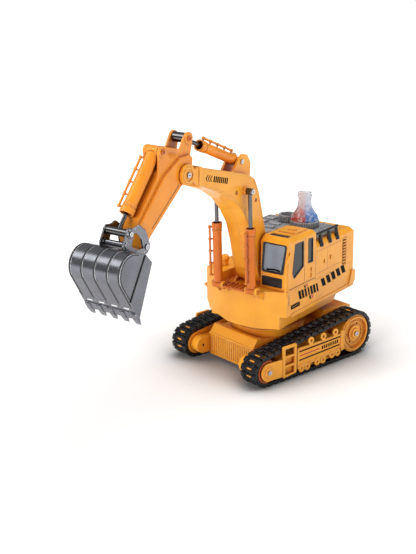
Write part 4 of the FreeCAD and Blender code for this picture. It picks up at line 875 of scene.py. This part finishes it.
def tub_ribs():
    """Ribs, a bar and two pipe stubs moulded into the tub's floor in front of the boom's foot."""
    put = on_top(house, TUB_FLOOR_Z)
    foot = -0.6
    bm = bmesh.new()
    for x in (-9.6, -4.8, 0.0, 4.8, 9.6):
        plate(bm, put, rounded(rectangle(x - 1.1, -60.0, x + 1.1, -47.0), 0.8), foot, 1.7, 0.5)
    plate(bm, put, rounded(rectangle(-12.4, -64.6, 12.4, -61.6), 0.8), foot, 1.2, 0.4)
    for x in (-15.4, 15.4):
        turned(bm, put, x, -50.0, [(2.6, foot), (2.6, 1.6), (1.7, 2.0), (1.5, 3.4), (1.0, 3.8)])
    piece("Tub_Ribs", bm, "upper_house", pin_orange, bevel=0.3)


def rail_feet():
    """Black feet of the cab side's handrail, which lean outwards, and of the far rail."""
    cab_rail = (46.8, 2.2, (23.2, 40.2, 55.4))    # x at the top, lean, and the y of each foot
    far_rail = (-44.6, 0.0, (20.6, 34.0, 47.4))
    sections = ((0.0, 2.4, 3.4), (0.15, 2.3, 3.3), (0.5, 1.7, 2.5), (0.95, 1.5, 2.1))
    bm = bmesh.new()
    for x, lean, places in (cab_rail, far_rail):
        for y in places:
            rings = [(ellipse(x + lean * (1 - share), y, size_x, size_y), share * RAIL_FOOT_HEIGHT)
                     for share, size_x, size_y in sections]
            stack(bm, on_top(house, RAIL_FOOT_Z), rings)
    piece("Rail_Feet", bm, "upper_house", finish["black_plastic"], bevel=0.3)


def deck_details():
    """Bolts, covers and a grille on the silver deck."""
    put = on_top(house, DECK_Z)
    foot = -0.4
    bm = bmesh.new()
    for x, y in ((-37, 18.5), (27.4, 18.5), (-37, 62.5), (27.6, 65.2), (4, 17.6), (27.0, 27.6), (-30, 44)):
        turned(bm, put, x, y, [(2.0, foot), (2.0, 0.5), (1.2, 0.55), (1.1, 1.3), (0.7, 1.5)], 18)
    covers = (                                    # outline, corner radius, foot and top
        (rectangle(-34, 21, -22, 30), 1.5, foot, 1.8),
        (rectangle(-32, 23, -24, 28), 1.0, 1.4, 2.9),
        (rectangle(-19, 19, -8, 24), 1.0, foot, 2.2),
        (rectangle(-34, 33, -27, 41), 1.0, foot, 2.4),
        (rectangle(-23, 34, -10, 41), 1.2, foot, 1.3),
        (rectangle(-5, 20.5, 8, 28), 1.2, foot, 1.6),
        (rectangle(12, 20.5, 24, 26), 1.2, foot, 2.2),
        (rectangle(-36, 48, -26, 59), 1.2, foot, 2.0),
    )
    for outline, radius, low, high in covers:
        plate(bm, put, rounded(outline, radius), low, high, 0.5)
    for k in range(6):
        x = -20.6 + 2.0 * k
        plate(bm, put, rectangle(x, 26.6, x + 1, 31.4), foot, 0.9, 0.2)
    piece("Deck_Fittings_Detail", bm, "upper_house", finish["grey_plastic"], bevel=0.2)


tub_ribs()
rail_feet()
deck_details()


# ---------------------------------------------------------------- floor, light and camera
def studio_floor():
    """Pale floor that glows a little more with distance, with a painted contact shadow that darkens it where
    something stands close to it.
    """
    reach = 30.0
    n = Nodes("Studio_Paper")
    paper = n.mix(n.noise(3, 2), (0.98, 0.98, 0.98, 1), (0.96, 0.96, 0.96, 1))
    # painted shadow: the floor's colour darkens where the machine stands close over it
    painted_contact_shadow = n.span(n.recess(0.07, 0.98, 0.45), 0, 1, 0.0, 0.9)
    n.link(n.mix(painted_contact_shadow, paper, srgb(52, 48, 42)), n.shader.inputs["Base Color"])
    n.link(n.span(n.noise(60, 2), 0, 1, 0.55, 0.7), n.shader.inputs["Roughness"])
    n.bump(n.noise(900, 2), 0.00002)
    away = n.node("ShaderNodeVectorMath", operation="LENGTH")
    n.link(n.place, away.inputs[0])
    n.set(Emission_Color=(1.0, 1.0, 1.0, 1.0))
    n.link(n.span(away.outputs["Value"], 0.16, 0.8, 0.05, 0.75), n.shader.inputs["Emission Strength"])
    mesh = bpy.data.meshes.new("Studio_Floor")
    bm = bmesh.new()
    bm.faces.new([bm.verts.new((x, y, 0.0)) for x, y in rectangle(-reach, -reach, reach, reach)])
    bm.to_mesh(mesh)
    bm.free()
    mesh.materials.append(n.mat)
    floor = bpy.data.objects.new("Studio_Floor", mesh)
    bpy.context.scene.collection.objects.link(floor)


def studio_world():
    """Dim surroundings that brighten with height."""
    world = bpy.data.worlds.new("Studio_World")
    bpy.context.scene.world = world
    world.use_nodes = True
    sky = world.node_tree
    glow = sky.nodes["Background"]
    glow.inputs["Strength"].default_value = 0.26
    ray = sky.nodes.new("ShaderNodeTexCoord")
    height = sky.nodes.new("ShaderNodeSeparateXYZ")
    fade = sky.nodes.new("ShaderNodeMapRange")
    set_range(fade, 0.0, 0.8, 0.25, 1.6)
    sky.links.new(ray.outputs["Generated"], height.inputs[0])
    sky.links.new(height.outputs["Z"], fade.inputs["Value"])
    sky.links.new(fade.outputs[0], glow.inputs["Color"])


def aim(obj, location, direction):
    """Puts a lamp or camera at a place, looking along a direction."""
    obj.location = location
    obj.rotation_mode = "QUATERNION"
    obj.rotation_quaternion = direction.to_track_quat("-Z", "Y")
    bpy.context.scene.collection.objects.link(obj)


def studio_lights():
    """Square soft lamps aimed at the middle of the machine: name, place, size in metres, watts."""
    centre = Vector((0.0, 0.0, 0.11))
    for label, place, size, power in (
        ("Top", (0.15, 0.5, 1.4), 1.0, 12.0),
        ("Key", (0.35, -1.5, 0.55), 0.8, 14.0),
        ("Strip", (-0.45, -0.68, 0.88), 0.45, 2.6),
        ("Side", (1.45, 0.2, 0.45), 0.8, 2.8),
    ):
        data = bpy.data.lights.new(label, "AREA")
        data.size = size
        data.energy = power
        aim(bpy.data.objects.new(label, data), place, centre - Vector(place))


def studio_camera():
    """Camera off the cab side's front corner, a little above the machine."""
    azimuth, elevation, roll = math.radians(48.924), math.radians(17.543), math.radians(-0.276)
    data = bpy.data.cameras.new("Camera")
    data.sensor_width = 36.0
    data.lens = 71.48
    data.shift_x = -0.0307
    data.shift_y = -0.0188
    data.clip_start = 0.05
    data.clip_end = 90.0
    camera = bpy.data.objects.new("Camera", data)
    back = Vector((math.sin(azimuth) * math.cos(elevation), -math.cos(azimuth) * math.cos(elevation),
                   math.sin(elevation)))
    aim(camera, chassis(786.3, -744.7, 438.5), -back)
    camera.rotation_quaternion = Matrix.Rotation(roll, 3, back).to_quaternion() @ camera.rotation_quaternion
    bpy.context.scene.camera = camera
    bpy.context.scene.view_settings.view_transform = "Standard"


studio_floor()
studio_world()
studio_lights()
studio_camera()
